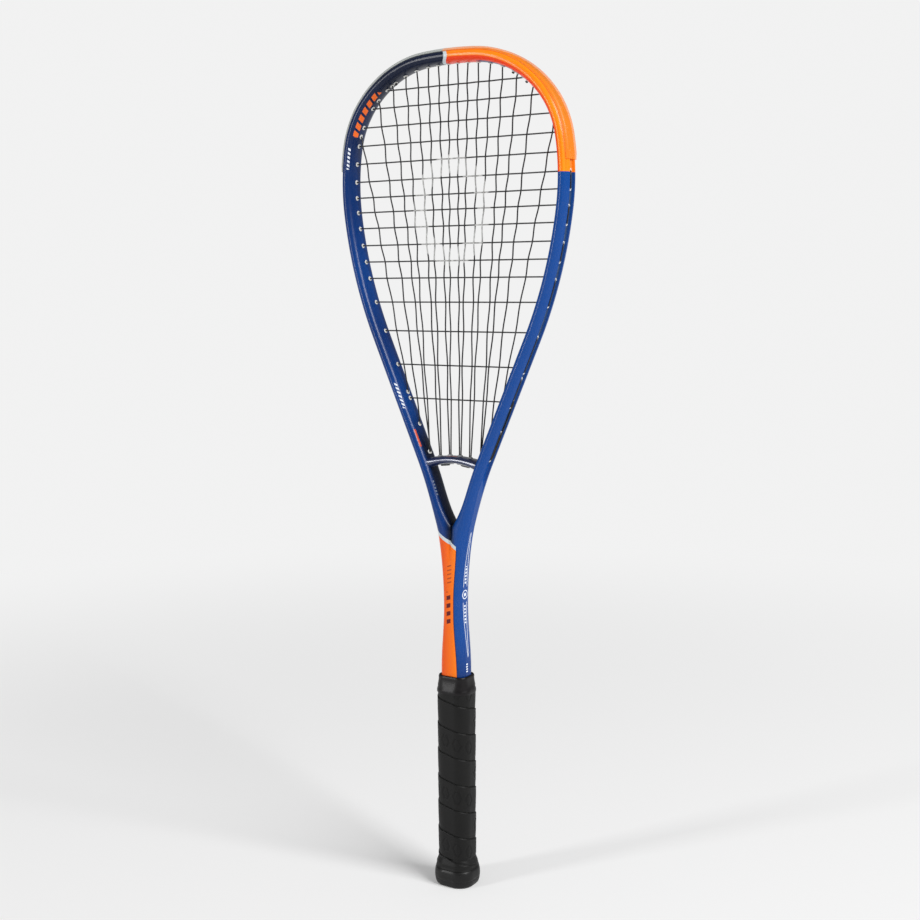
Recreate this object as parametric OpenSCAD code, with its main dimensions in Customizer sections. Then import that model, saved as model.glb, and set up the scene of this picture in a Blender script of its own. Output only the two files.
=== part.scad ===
// Squash racket: a carbon hairpin frame with a bonded throat bridge, clear grommet strips
// and bumper guard, two woven nylon strings, and a foam handle with a wrapped grip.
// Frame of the part: X across the head, Y through its depth (front is -Y), Z up the handle,
// origin at the middle of the butt's flat end.

/* [Racket] */
// Overall length from the butt's end to the tip of the bumper guard
racket_len = 685; // [670:1:700]
// Width of the hoop's tube, seen from the front
rim_w = 10.1; // [9.5:0.1:11]
// Depth of the hoop's tube, front to back
rim_d = 20; // [18.5:0.1:20.4]
// Wall thickness of the carbon tube
wall = 1.2; // [1:0.1:1.5]

/* [Head outline] */
// Radius of the outline at the tip of the head
tip_r = 303; // [280:1:320]
// Angle that the tip's arc turns through
tip_turn = 4.6; // [4:0.1:5]
// Radius of the outline at the head's upper corners
corner_r = 90; // [88:0.5:92]
// Angle that the corner's arc turns through
corner_turn = 44.3; // [43:0.1:46]
// Radius of the outline at the head's shoulders
shoulder_r = 79; // [77:0.5:81]
// Angle that the shoulder's arc turns through
shoulder_turn = 32; // [31:0.1:33]
// Radius of the outline along the head's widest part
side_r = 192; // [189:1:195]
// Angle that the side's arc turns through
side_turn = 16.4; // [16:0.1:16.8]
// Radius of the outline where the head runs into the legs
hip_r = 370; // [364:1:376]
// Slope of the straight throat legs from upright
leg_slope = 23.6; // [23.4:0.1:23.8]
// Radius of the flare from the legs into the shaft
flare_r = 297; // [290:1:305]

/* [Shaft and handle] */
// Width of the shaft at its narrowest
waist_w = 17.1; // [16.6:0.1:17.6]
// Width of the shaft where it enters the grip
heel_w = 23.6; // [22.8:0.1:23.8]
// Depth of the shaft where it enters the grip
heel_d = 20; // [19.4:0.1:20.2]
// Height of the grip's upper end
grip_top = 172; // [165:1:178]
// Width of the wrapped grip
grip_w = 30.6; // [30:0.1:31.5]
// Depth of the wrapped grip
grip_d = 27; // [26.6:0.1:28]
// Thickness of the wrapped grip's material
grip_t = 1.6; // [1.4:0.1:1.8]
// Width of the butt at its widest
butt_w = 36; // [34:0.5:38]
// Depth of the butt at its widest
butt_d = 33; // [31:0.5:35]

/* [Stringing] */
// Diameter of the string
string_d = 1.15; // [1.05:0.01:1.18]
// How far each string lies from the middle plane, so that the two layers just clear
layer = 0.6; // [0.6:0.01:0.65]
// Depth of the string groove round the outside of the head
groove = 2.4; // [2.2:0.1:2.6]
// Width of the clear bumper guard
bumper_w = 15.8; // [15.4:0.1:16]
// Thickness of the clear bumper guard
bumper_t = 1.3; // [1.2:0.1:1.6]

/* [Hidden] */

// ---- The outline: tangent arcs from the tip of the head down the right side ----
frame_top = racket_len - bumper_t;
hip_turn = 90 + leg_slope - tip_turn - corner_turn - shoulder_turn - side_turn;
arcs = [[tip_r, tip_turn], [corner_r, corner_turn], [shoulder_r, shoulder_turn],
    [side_r, side_turn], [hip_r, hip_turn]];
// A place on the outline is [x, z, heading], with the heading turned clockwise from +X
function turned(p, r, t) = [
    p[0] + r * (sin(p[2] + t) - sin(p[2])),
    p[1] + r * (cos(p[2] + t) - cos(p[2])),
    p[2] + t];
function ahead(p, d) = [p[0] + d * cos(p[2]), p[1] - d * sin(p[2]), p[2]];
function arc_start(i) = i == 0 ? [0, frame_top, 0]
    : turned(arc_start(i - 1), arcs[i - 1][0], arcs[i - 1][1]);
starts = [for (i = [0 : len(arcs)]) arc_start(i)];
lengths = [for (a = arcs) a[0] * a[1] * PI / 180];
function sum_to(v, n) = n <= 0 ? 0 : v[n - 1] + sum_to(v, n - 1);
hoop_len = sum_to(lengths, len(arcs));
// The place at distance s along the outline: negative s runs down the left side
function right_at(s, i = 0) = i >= len(arcs) ? ahead(starts[i], s)
    : s <= lengths[i] ? turned(starts[i], arcs[i][0], s / arcs[i][0] * 180 / PI)
    : right_at(s - lengths[i], i + 1);
function outline_at(s) = s >= 0 ? right_at(s)
    : let (p = right_at(-s)) [-p[0], p[1], -p[2]];
// A point u outside the outline and v back from the head's middle plane
function off_outline(p, u, v = 0) = [p[0] + u * sin(p[2]), v, p[1] + u * cos(p[2])];

// Distance along the outline where the curve w inside it passes height z or sideways place x
function arc_mid(i) = [
    starts[i][0] - arcs[i][0] * sin(starts[i][2]),
    starts[i][1] - arcs[i][0] * cos(starts[i][2])];
function s_on_arc(i, heading) = sum_to(lengths, i)
    + arcs[i][0] * (heading - starts[i][2]) * PI / 180;
function inside(i, w) = off_outline(starts[i], -w);
function s_at_z(z, w, i = 0) = i >= len(arcs)
    ? hoop_len + (inside(i, w)[2] - z) / cos(leg_slope)
    : z >= inside(i + 1, w)[2]
    ? s_on_arc(i, acos((z - arc_mid(i)[1]) / (arcs[i][0] - w)))
    : s_at_z(z, w, i + 1);
function s_at_x(x, w, i = 0) = x <= inside(i + 1, w)[0]
    ? s_on_arc(i, asin((x - arc_mid(i)[0]) / (arcs[i][0] - w)))
    : s_at_x(x, w, i + 1);

// ---- The string bed ----
string_r = string_d / 2;
barrel_out = 0.9; // how far the grommets' barrels stand out inside the hoop
lip_in = rim_w + barrel_out;
first_cross = 27.5;
cross_gaps = [13.5, 14.5, 14.5, 14.5, 14.5, 13, 12, 13, 14, 13.5, 13.5, 19.5, 23.5, 27.5, 27.5];
crosses = len(cross_gaps) + 1;
cross_z = [for (j = [0 : crosses - 1]) racket_len - first_cross - sum_to(cross_gaps, j)];
// Mains, from the middle outward: where each meets the inside of the hoop's top
main_top_x = [4.2, 13.7, 23.2, 34.2, 44.9, 58.1, 71.8, 89.6];
half = len(main_top_x);
// The bridge's holes carry two mains each, and so do the corner holes at its ends
bridge_hole_x = [4.8, 14.3];
pair_gap = 0.7;
corner_z = 365.5;
second_z = 388;
outer_z = 414;
bridge_z = 360.3;
bridge_r = 74;
bridge_t = 6.2;
bridge_d = 14;

function inner_z_at(x) = off_outline(outline_at(s_at_x(x, lip_in)), -lip_in)[2];
function leg_in(z) = off_outline(outline_at(s_at_z(z, lip_in)), -lip_in);
function arch_z(x) = bridge_z - bridge_r + sqrt(bridge_r * bridge_r - x * x);
bridge_lip_z = bridge_t / 2 + 1;
function main_foot(k) = k < 4
    ? let (x = bridge_hole_x[floor(k / 2)] + (k % 2 == 0 ? -pair_gap : pair_gap))
        [x, 0, arch_z(x) + bridge_lip_z]
    : k < 6 ? leg_in(corner_z) + [0, k == 4 ? -pair_y : pair_y, 0]
    : leg_in(k == 6 ? second_z : outer_z);
function main_head(k) = [main_top_x[k], 0, inner_z_at(main_top_x[k])];
// Main i counts 0 to 15 from the left; its mirror pair shares one entry of the lists above
function side_of(i) = i < half ? -1 : 1;
function pair_of(i) = i < half ? half - 1 - i : i - half;
function flip(p, side) = [side * p[0], p[1], p[2]];
function head_of(i) = flip(main_head(pair_of(i)), side_of(i));
function foot_of(i) = flip(main_foot(pair_of(i)), side_of(i));
function cross_end(j) = leg_in(cross_z[j]);

// ---- String runs outside the frame, in the groove ----
strip_t = 0.7;
fit_gap = 0.05; // between a bonded or seated piece and the one that holds it
string_gap = 0.1; // between a string and the strip or plate that it bears on
run_u = string_r + strip_t - groove + string_gap;
hole_u = -groove - 0.6;
lane = 1.25; // how far a run lies from the middle of the groove
tie_lane = 2.45; // the same for the end that passes other runs to its knot
pair_y = 0.62; // the same for each of two strings in one hole
run_step = 13;
run_bend = 2.2;
function run(a, b, y, ya = 0, yb = 0) = let (
        n = max(2, ceil(abs(b - a) / run_step)), bend = sign(b - a) * run_bend) concat(
    [off_outline(outline_at(a), hole_u, ya)],
    [off_outline(outline_at(a + bend * 0.25), run_u, ya + (y - ya) * 0.3)],
    [for (k = [0 : n]) off_outline(outline_at(a + bend + (b - a - 2 * bend) * k / n), run_u, y)],
    [off_outline(outline_at(b - bend * 0.25), run_u, yb + (y - yb) * 0.3)],
    [off_outline(outline_at(b), hole_u, yb)]);
function hole_top(i) = side_of(i) * s_at_x(main_top_x[pair_of(i)], lip_in);
function hole_leg(i) = let (k = pair_of(i))
    side_of(i) * s_at_z(k == 7 ? outer_z : k == 6 ? second_z : corner_z, lip_in);
function hole_cross(j, side) = side * s_at_z(cross_z[j], lip_in);
function backwards(v) = [for (k = [len(v) - 1 : -1 : 0]) v[k]];

// The mains lie behind the crosses: each strand steps to its own layer near its ends
step_in = 6;
function strand(a, b, y) = let (d = (b - a) / norm(b - a) * step_in)
    [a, a + d + [0, y, 0], b - d + [0, y, 0], b];
function level(p) = [p[0], 0, p[2]];
function main_up(i) = let (a = foot_of(i), b = head_of(i))
    concat([a], slice_from(strand(level(a), b, layer), 1));
function cross_right(j) = strand(flip(cross_end(j), -1), cross_end(j), -layer);
// Under the bridge the two strands of a hole run side by side to the next hole
function under_bridge(a, b) = let (pa = foot_of(a), pb = foot_of(b),
        low = -bridge_t / 2 - strip_t - string_r - string_gap - fit_gap,
        y = a % 2 == 0 ? pair_y : -pair_y) [
    [pa[0], 0, pa[2] - bridge_lip_z - bridge_t / 2 + 1],
    [pa[0] + 0.15 * (pb[0] - pa[0]), y, arch_z(pa[0]) + low],
    [(pa[0] + pb[0]) / 2, y, arch_z((pa[0] + pb[0]) / 2) + low],
    [pb[0] - 0.15 * (pb[0] - pa[0]), y, arch_z(pb[0]) + low],
    [pb[0], 0, pb[2] - bridge_lip_z - bridge_t / 2 + 1]];
// The left half of the main string, from the tie at the tip's left to the middle of the head
tie_s = hole_top(2) + 4.5;
tail_out = 1.6;
function tail(s_from, s_to, y) = backwards(concat(
    [off_outline(outline_at(s_to), -lip_in - tail_out), off_outline(outline_at(s_to), hole_u)],
    slice_from(run(s_to, s_from, y), 1)));
function slice_from(v, n) = [for (k = [n : len(v) - 1]) v[k]];
main_left = concat(
    backwards(tail(hole_top(0), tie_s, tie_lane)),
    backwards(main_up(0)),
    run(hole_leg(0), hole_leg(2), lane, 0, pair_y),
    main_up(2),
    run(hole_top(2), hole_top(1), lane),
    backwards(main_up(1)),
    run(hole_leg(1), hole_leg(3), -lane, 0, -pair_y),
    main_up(3),
    run(hole_top(3), hole_top(4), lane),
    backwards(main_up(4)),
    under_bridge(4, 6),
    main_up(6),
    run(hole_top(6), hole_top(5), lane),
    backwards(main_up(5)),
    under_bridge(5, 7),
    main_up(7));
main_right = backwards([for (p = main_left) flip(p, -1)]);
main_path = concat(main_left, run(hole_top(7), hole_top(8), lane), main_right);
function cross_run(j) = j < 0 ? [] : let (side = j % 2 == 1 ? -1 : 1) concat(
    side < 0 ? backwards(cross_right(j)) : cross_right(j),
    j == 0 ? [] : run(hole_cross(j, side), hole_cross(j - 1, side), -lane),
    cross_run(j - 1));
cross_first_tie = hole_cross(crosses - 2, 1) + 5.5;
cross_last_tie = hole_cross(0, 1) + 5.5;
cross_path = concat(
    backwards(tail(hole_cross(crosses - 1, 1), cross_first_tie, -lane)),
    cross_run(crosses - 1),
    tail(hole_cross(0, 1), cross_last_tie, -lane));

// ---- Sweeps: rings of points joined into one closed skin ----
function unit(v) = v / norm(v);
function ring_axis(path, k) = unit(
    (k == 0 ? [0, 0, 0] : unit(path[k] - path[k - 1]))
    + (k == len(path) - 1 ? [0, 0, 0] : unit(path[k + 1] - path[k])));
function round_ring(p, axis, r, n) = let (a = unit(cross(axis, [0, 1, 0])), b = cross(a, axis))
    [for (k = [0 : n - 1]) p + r * (cos(360 * k / n) * a + sin(360 * k / n) * b)];
// Whether a ring runs anticlockwise, seen against the direction that the rings travel in
function anticlockwise(rings) = let (
        r = rings[0], n = len(r),
        slices = [for (k = [1 : n - 2]) cross(r[k] - r[0], r[k + 1] - r[0])])
    ([for (v = slices) 1] * slices) * (rings[1][0] - r[0]) > 0;
function turned_over(faces, over) = over ? [for (f = faces) backwards(f)] : faces;
function band_faces(m, n, rows) = [for (i = [0 : rows - 1]) for (k = [0 : n - 1]) for (corner = [0, 1])
    corner == 0
    ? [i * n + k, i * n + (k + 1) % n, (i + 1) % m * n + k]
    : [i * n + (k + 1) % n, (i + 1) % m * n + (k + 1) % n, (i + 1) % m * n + k]];
module skin(rings) {
    n = len(rings[0]);
    m = len(rings);
    ends = [[for (k = [0 : n - 1]) n - 1 - k], [for (k = [0 : n - 1]) (m - 1) * n + k]];
    polyhedron(
        points = [for (ring = rings) for (p = ring) p],
        faces = turned_over(concat(ends, band_faces(m, n, m - 1)), anticlockwise(rings)),
        convexity = 10);
}
// A sleeve: its rings go up the outside and down the inside, and the last joins the first
module sleeve(rings) {
    n = len(rings[0]);
    m = len(rings);
    polyhedron(
        points = [for (ring = rings) for (p = ring) p],
        faces = turned_over(band_faces(m, n, m), anticlockwise(rings)),
        convexity = 6);
}
string_sides = 6;
module string_line(path) {
    skin([for (k = [0 : len(path) - 1])
        round_ring(path[k], ring_axis(path, k), string_r, string_sides)]);
}

// ---- The frame's tube ----
ring_step = 10;
crotch_z = 300;
crotch_len = 40;
crotch_swell = 8;
overlap = 1.5;
tube_end = 6;
flare_end_x = waist_w / 2 + flare_r * (1 - cos(leg_slope));
hip = starts[len(arcs)];
leg_len = (hip[0] - flare_end_x) / sin(leg_slope);
flare_start = ahead(hip, leg_len);
waist = turned(flare_start, -flare_r, -leg_slope);
function ease(t) = t * t * (3 - 2 * t);
heel_z = grip_top + 14;
function shaft_at(z) = let (t = max(0, min(1, (waist[1] - z) / (waist[1] - heel_z))))
    [waist_w / 2 + (heel_w - waist_w) / 2 * ease(t), z, 90];
leg_rings = 5;
flare_rings = 9;
shaft_rings = 6;
frame_places = concat(
    [for (i = [0 : len(arcs) - 1]) let (n = ceil(lengths[i] / ring_step))
        for (k = [0 : n - 1]) turned(starts[i], arcs[i][0], arcs[i][1] * k / n)],
    [for (k = [0 : leg_rings - 1]) ahead(hip, leg_len * k / leg_rings)],
    [for (k = [0 : flare_rings - 1]) turned(flare_start, -flare_r, -leg_slope * k / flare_rings)],
    [for (k = [0 : shaft_rings]) shaft_at(waist[1] - (waist[1] - heel_z) * k / shaft_rings)],
    [shaft_at(tube_end)]);
// Across the tube: its full reach to the middle of the shaft, and the hoop's own width
function reach(p) = (p[0] + overlap) / sin(p[2]);
function tube_w(p) = p[2] < 90 || p[1] > crotch_z + crotch_len ? rim_w
    : p[1] > crotch_z
    ? min(reach(p), rim_w + crotch_swell * pow((crotch_z + crotch_len - p[1]) / crotch_len, 3))
    : reach(p);
function tube_half_d(p) = p[1] > waist[1] ? rim_d / 2
    : rim_d / 2 + (heel_d - rim_d) / 2 * ease(min(1, (waist[1] - p[1]) / (waist[1] - grip_top)));
groove_end_z = 348;
groove_fade = 16;
function groove_at(p) = p[1] > groove_end_z ? groove
    : max(0, groove * (1 - (groove_end_z - p[1]) / groove_fade));
function bulge(c, e) = sign(c) * pow(abs(c), 2 / e);
// The tube's inner half is as round as its outer half in the head, and squares off down the
// shaft, so that the valley between the two halves fades out
round_e = 2.2;
flat_e = 8;
valley_len = 50;
function inner_e(p) = round_e
    + (flat_e - round_e) * ease(max(0, min(1, (crotch_z - p[1]) / valley_len)));
floor_half = 3.1;
lip_half = 3.7;
corner_angles = [36, 60, 90, 120, 150];
function oval(w, d, a, e) = [-w / 2 + w / 2 * bulge(cos(a), e), d * bulge(sin(a), e)];
function half_section(p) = let (w = tube_w(p), d = tube_half_d(p), e = inner_e(p))
    concat([[-groove_at(p), floor_half], [0, lip_half]],
        [for (a = corner_angles) oval(w, d, a, a > 90 ? e : round_e)]);
function section(p) = let (h = half_section(p)) concat(
    h, [[-tube_w(p), 0]], [for (q = backwards(h)) [q[0], -q[1]]]);
function tube_ring(p) = [for (q = section(p)) off_outline(p, q[0], q[1])];
module tube_half() {
    skin([for (p = frame_places) tube_ring(p)]);
}
bore_sides = 8;
function bore_ring(p) = let (
        out = groove_at(p) + wall, in = tube_w(p) - wall, d = tube_half_d(p) - wall)
    [for (k = [0 : bore_sides - 1]) let (a = 360 * (k + 0.5) / bore_sides)
        off_outline(p, -(in + out) / 2 + (in - out) / 2 * cos(a) / cos(180 / bore_sides),
            d * sin(a) / cos(180 / bore_sides))];
bore_places = concat([for (p = frame_places) p], [shaft_at(tube_end - 1)]);
module bore_half() {
    skin([for (k = [0 : len(bore_places) - 1]) if (k % 2 == 0 || bore_places[k][2] >= 89)
        bore_ring(bore_places[k])]);
}
module both_sides() {
    children();
    mirror([1, 0, 0]) children();
}

// ---- Holes and their grommets ----
hole_r = 2;
barrel_r = 1.8;
eye_r = 1.2;
single_holes = concat(
    [for (i = [0 : 2 * half - 1]) hole_top(i)],
    [for (i = [0, 1, 14, 15]) hole_leg(i)],
    [for (j = [0 : crosses - 1]) for (side = [-1, 1]) hole_cross(j, side)],
    [tie_s, -tie_s, cross_first_tie, cross_last_tie]);
corner_holes = [hole_leg(2), hole_leg(13)];
// A round or, with spread, a slotted rod along a hole's own direction
module rod(s, from_u, to_u, r, spread = 0) {
    p = outline_at(s);
    hull() for (u = [from_u, to_u]) for (y = spread == 0 ? [0] : [-spread, spread])
        translate(off_outline(p, u, y)) rotate([0, p[2], 0]) cylinder(h = 0.01, r = r, $fn = 6);
}
module rods(from_u, to_u, r, holes, corners) {
    for (s = holes) rod(s, from_u, to_u, r);
    for (s = corners) rod(s, from_u, to_u, r - 0.35, pair_y);
}
module frame() {
    color("royalblue") difference() {
        both_sides() tube_half();
        both_sides() bore_half();
        rods(1, -rim_w - 1, hole_r, single_holes, corner_holes);
    }
}

// Rings of a band that follows the outline, right side first; each place keeps the band's section
strip_half = floor_half - 0.2;
strip_section = [
    [-groove + fit_gap, -strip_half], [-groove + strip_t, -strip_half],
    [-groove + strip_t, strip_half], [-groove + fit_gap, strip_half]];
function band_ring(p, sec) = [for (q = sec) off_outline(p, q[0], q[1])];
function mirrored(v) = [for (p = v) [-p[0], p[1], -p[2]]];
split_place = 17;
strip_end_z = 346;
head_places = [for (k = [0 : split_place]) frame_places[k]];
over_head = concat(mirrored(backwards(slice_from(head_places, 1))), head_places);
side_places = [for (k = [split_place : len(frame_places) - 1])
    if (frame_places[k][1] > strip_end_z && frame_places[k][2] > 60) frame_places[k]];
split_z = frame_places[split_place][1];
function on_head(s) = outline_at(s)[1] > split_z;
function on_side(s, side) = !on_head(s) && s * side > 0;
module grommet_strip(places, holes, corners) {
    difference() {
        union() {
            skin([for (p = places) band_ring(p, strip_section)]);
            rods(-groove + 0.3, -lip_in, barrel_r, holes, corners);
        }
        rods(1, -lip_in - 1, eye_r, holes, corners);
    }
}
module grommet_strip_head() {
    color("lightgray") grommet_strip(over_head, [for (s = single_holes) if (on_head(s)) s], []);
}
module grommet_strip_left() {
    color("lightgray") grommet_strip(mirrored(side_places),
        [for (s = single_holes) if (on_side(s, -1)) s], [corner_holes[0]]);
}
module grommet_strip_right() {
    color("lightgray") grommet_strip(side_places,
        [for (s = single_holes) if (on_side(s, 1)) s], [corner_holes[1]]);
}
// Half of the bumper guard's section, from the inside at the middle round to its crown
bumper_half = let (w = bumper_w / 2) [
    [fit_gap, lip_half + 0.1], [-0.62, 6.1], [-1.55, w - 0.3],
    [-0.85, w], [0.45, w * 0.88], [bumper_t - 0.2, w * 0.68], [bumper_t, w * 0.4]];
module bumper_guard() {
    bumper_section = concat(bumper_half, [for (q = backwards(bumper_half)) [q[0], -q[1]]]);
    color("gainsboro") skin([for (p = over_head) band_ring(p, bumper_section)]);
}

// ---- The throat bridge and its two grommet plates ----
bridge_reach = 27;
bridge_steps = 12;
module bridge_pin(x, r, up, down) {
    hull() for (dx = [-pair_gap, pair_gap]) translate([x + dx, 0, arch_z(x) - down])
        cylinder(h = up + down, r = r, $fn = 8);
}
module throat_bridge() {
    color("midnightblue") difference() {
        skin([for (k = [0 : bridge_steps]) let (
                x = -bridge_reach + 2 * bridge_reach * k / bridge_steps,
                t = bridge_t / 2 + pow(x / bridge_reach, 2) * 1.2)
            [for (a = [0 : 30 : 330])
                [x, -bridge_d / 2 * bulge(cos(a), round_e), arch_z(x) + t * bulge(sin(a), round_e)]]]);
        both_sides() tube_half();
        for (x = bridge_hole_x) both_sides() bridge_pin(x, 1.4, 10, 10);
        for (x = bridge_hole_x) both_sides() hull() {
            bridge_pin(x, 2, 10, -bridge_t / 2);
            bridge_pin(x, 1.5, 10, -bridge_t / 2 + 0.6);
        }
    }
}
module bridge_plate() {
    under = bridge_t / 2 + strip_t + fit_gap;
    difference() {
        union() {
            for (k = [0 : 3]) hull() for (x = [1.6 + 4 * k, 5.6 + 4 * k])
                translate([x - 0.05, -1.9, arch_z(x) - under]) cube([0.1, 3.8, strip_t]);
            for (x = bridge_hole_x) bridge_pin(x, 1.25, bridge_lip_z - 0.1, under - 0.1);
        }
        for (x = bridge_hole_x) bridge_pin(x, 0.75, 10, 10);
    }
}
module bridge_grommet_left() {
    color("lightgray") mirror([1, 0, 0]) bridge_plate();
}
module bridge_grommet_right() {
    color("lightgray") bridge_plate();
}

// ---- Strings ----
module knot(s) {
    p = outline_at(s);
    for (t = [0 : 3]) hull() for (e = [-1, 1])
        translate(off_outline(p, -lip_in - 0.9 - 0.35 * t, 0.35 * e * cos(90 * t)))
            translate([0.35 * e * sin(90 * t), 0, 0]) sphere(r = 0.85, $fn = 8);
}
module main_string() {
    color("black") {
        string_line(main_path);
        knot(tie_s);
        knot(-tie_s);
    }
}
module cross_string() {
    color("black") {
        string_line(cross_path);
        knot(cross_first_tie);
        knot(cross_last_tie);
    }
}

// ---- The handle ----
corner_pts = 5;
function corner(w, d, r, q, z) = let (
        sx = (q == 0 || q == 3) ? 1 : -1, sy = q < 2 ? 1 : -1, rr = min(r, w / 2 - 0.01, d / 2 - 0.01))
    [for (k = [0 : corner_pts]) let (a = 90 * q + 90 * k / corner_pts)
        [sx * (w / 2 - rr) + rr * cos(a), sy * (d / 2 - rr) + rr * sin(a), z]];
function block_ring(w, d, r, z) = [for (q = [0 : 3]) for (p = corner(w, d, r, q, z)) p];
grip_r = 11;
core_w = grip_w - 2 * grip_t;
core_d = grip_d - 2 * grip_t;
core_r = grip_r - grip_t;
socket_w = heel_w + 0.1;
socket_d = heel_d + 0.1;
socket_r = 3.4;
pallet_low = 8;
pallet_high = grip_top - 4;
staple_z = 11;
staple_r = 0.5;
staple_bite = 1.5; // how far the staples' points go into the pallets
staple_out = core_w / 2 + 2.2;
staple_w = 1;
staple_span = 4;
function half_of(ring, side) = [for (p = ring) if (p[1] * side > 0.001) p];
module staple_wire(side, grow = 0) {
    from = core_w / 2 - staple_bite;
    for (y = [-staple_span, staple_span]) translate([side * from, y, staple_z])
        rotate([0, side * 90, 0]) cylinder(h = staple_out - from, r = staple_r + grow, $fn = 24);
}
module staple_back(side, grow = 0) {
    translate([side * staple_out, 0, staple_z])
        cube([staple_w, 2 * staple_span + staple_w, staple_w] + 2 * grow * [1, 1, 1], center = true);
}
module pallet(side) {
    outer = half_of(block_ring(core_w, core_d, core_r, 0), side);
    inner = half_of(block_ring(socket_w, socket_d, socket_r, 0), side);
    edge = concat(
        [[side * core_w / 2, 0]], outer, [[-side * core_w / 2, 0]],
        [[-side * socket_w / 2, 0]], backwards(inner), [[side * socket_w / 2, 0]]);
    difference() {
        translate([0, 0, pallet_low]) linear_extrude(pallet_high - pallet_low)
            polygon([for (p = edge) [p[0], p[1]]]);
        for (x = [-1, 1]) staple_wire(x, 0.02);
    }
}
module pallet_front() {
    color("tan") pallet(-1);
}
module pallet_back() {
    color("tan") pallet(1);
}
cap_high = 15;
module butt_cap() {
    out = [[0, 0.86], [0.8, 0.92], [2, 0.96], [5, 0.99], [8, 1], [12, 0.975], [cap_high, 0.93]];
    color("black") difference() {
        skin([for (q = out) block_ring(butt_w * q[1], butt_d * q[1], 13 * q[1], q[0])]);
        skin([for (z = [pallet_low - 3, cap_high + 1])
            block_ring(core_w + 0.1, core_d + 0.1, core_r, z)]);
        for (x = [-1, 1]) staple_wire(x, 0.02);
        for (x = [-1, 1]) staple_back(x, 0.02);
    }
}
module cap_staple(side) {
    color("silver") {
        staple_wire(side);
        staple_back(side);
    }
}
module cap_staple_left() {
    cap_staple(-1);
}
module cap_staple_right() {
    cap_staple(1);
}
// The wrap climbs the handle in a strip that laps over itself, and flares out over the cap
wrap_pitch = 22.6;
wrap_start = 0.21;
wrap_lap = 0.45;
grip_low = 15.1;
flare_high = 27;
wrap_rings = 30;
collar_low = grip_top - 6;
collar_high = grip_top + 9;
function flare_by(z) = z > flare_high ? 0 : pow((flare_high - z) / (flare_high - grip_low), 1.6);
function wrapped(z) = let (f = flare_by(z), w = grip_w + (butt_w * 0.93 - grip_w) * f,
        d = grip_d + (butt_d * 0.93 - grip_d) * f)
    [for (p = block_ring(w, d, grip_r, z)) let (
            turn = atan2(p[1], p[0]) / 360,
            rise = z / wrap_pitch + turn + wrap_start,
            lap = wrap_lap * (rise - floor(rise) - 1) * (z < grip_low + 1 ? 0 : 1),
            r = norm([p[0], p[1]]))
        [p[0] * (r + lap) / r, p[1] * (r + lap) / r, z]];
module base_grip() {
    color("black") sleeve(concat(
        [for (k = [0 : wrap_rings]) wrapped(grip_low + (collar_low - grip_low) * k / wrap_rings)],
        [for (z = [collar_low, grip_low]) block_ring(core_w + 0.1, core_d + 0.1, core_r, z)]));
}
// Tape that finishes the wrap's upper end, and the rubber collar rolled over it
module finishing_tape() {
    color("black") sleeve([
        block_ring(grip_w - 1.4, grip_d - 1.4, grip_r - 0.7, collar_low + 0.1),
        block_ring(heel_w + 3.2, heel_d + 3.6, 7, grip_top - 1),
        block_ring(heel_w + 0.6, heel_d + 0.6, 5, grip_top + 6),
        block_ring(heel_w + 0.2, heel_d + 0.2, 4.4, grip_top + 6),
        block_ring(heel_w + 0.4, heel_d + 0.4, 4.6, pallet_high + 0.6),
        block_ring(core_w + 0.1, core_d + 0.1, core_r, pallet_high + 0.1),
        block_ring(core_w + 0.1, core_d + 0.1, core_r, collar_low + 0.1)]);
}
module rubber_collar() {
    color("black") sleeve([
        block_ring(grip_w + 0.3, grip_d + 0.3, grip_r, collar_low + 0.05),
        block_ring(grip_w + 0.6, grip_d + 0.6, grip_r, collar_low + 1.2),
        block_ring(grip_w + 0.3, grip_d + 0.3, grip_r, collar_low + 3.5),
        block_ring(heel_w + 5.4, heel_d + 6.2, 8.6, grip_top + 2),
        block_ring(heel_w + 3.6, heel_d + 4.2, 7.6, collar_high - 3),
        block_ring(heel_w + 2.8, heel_d + 3.2, 7, collar_high - 0.6),
        block_ring(heel_w + 1.8, heel_d + 2.2, 6.4, collar_high),
        block_ring(heel_w + 0.1, heel_d + 0.1, 4.6, collar_high),
        block_ring(heel_w + 0.2, heel_d + 0.2, 4.8, grip_top + 6.1),
        block_ring(heel_w + 0.7, heel_d + 0.7, 5.1, grip_top + 6.1),
        block_ring(heel_w + 3.3, heel_d + 3.7, 7.1, grip_top - 1),
        block_ring(grip_w - 1.3, grip_d - 1.3, grip_r - 0.6, collar_low + 0.05)]);
}

frame();
throat_bridge();
bumper_guard();
grommet_strip_head();
grommet_strip_left();
grommet_strip_right();
bridge_grommet_left();
bridge_grommet_right();
main_string();
cross_string();
pallet_front();
pallet_back();
butt_cap();
cap_staple_left();
cap_staple_right();
base_grip();
finishing_tape();
rubber_collar();
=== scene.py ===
import math

import bmesh
import bpy
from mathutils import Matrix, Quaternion, Vector


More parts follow.
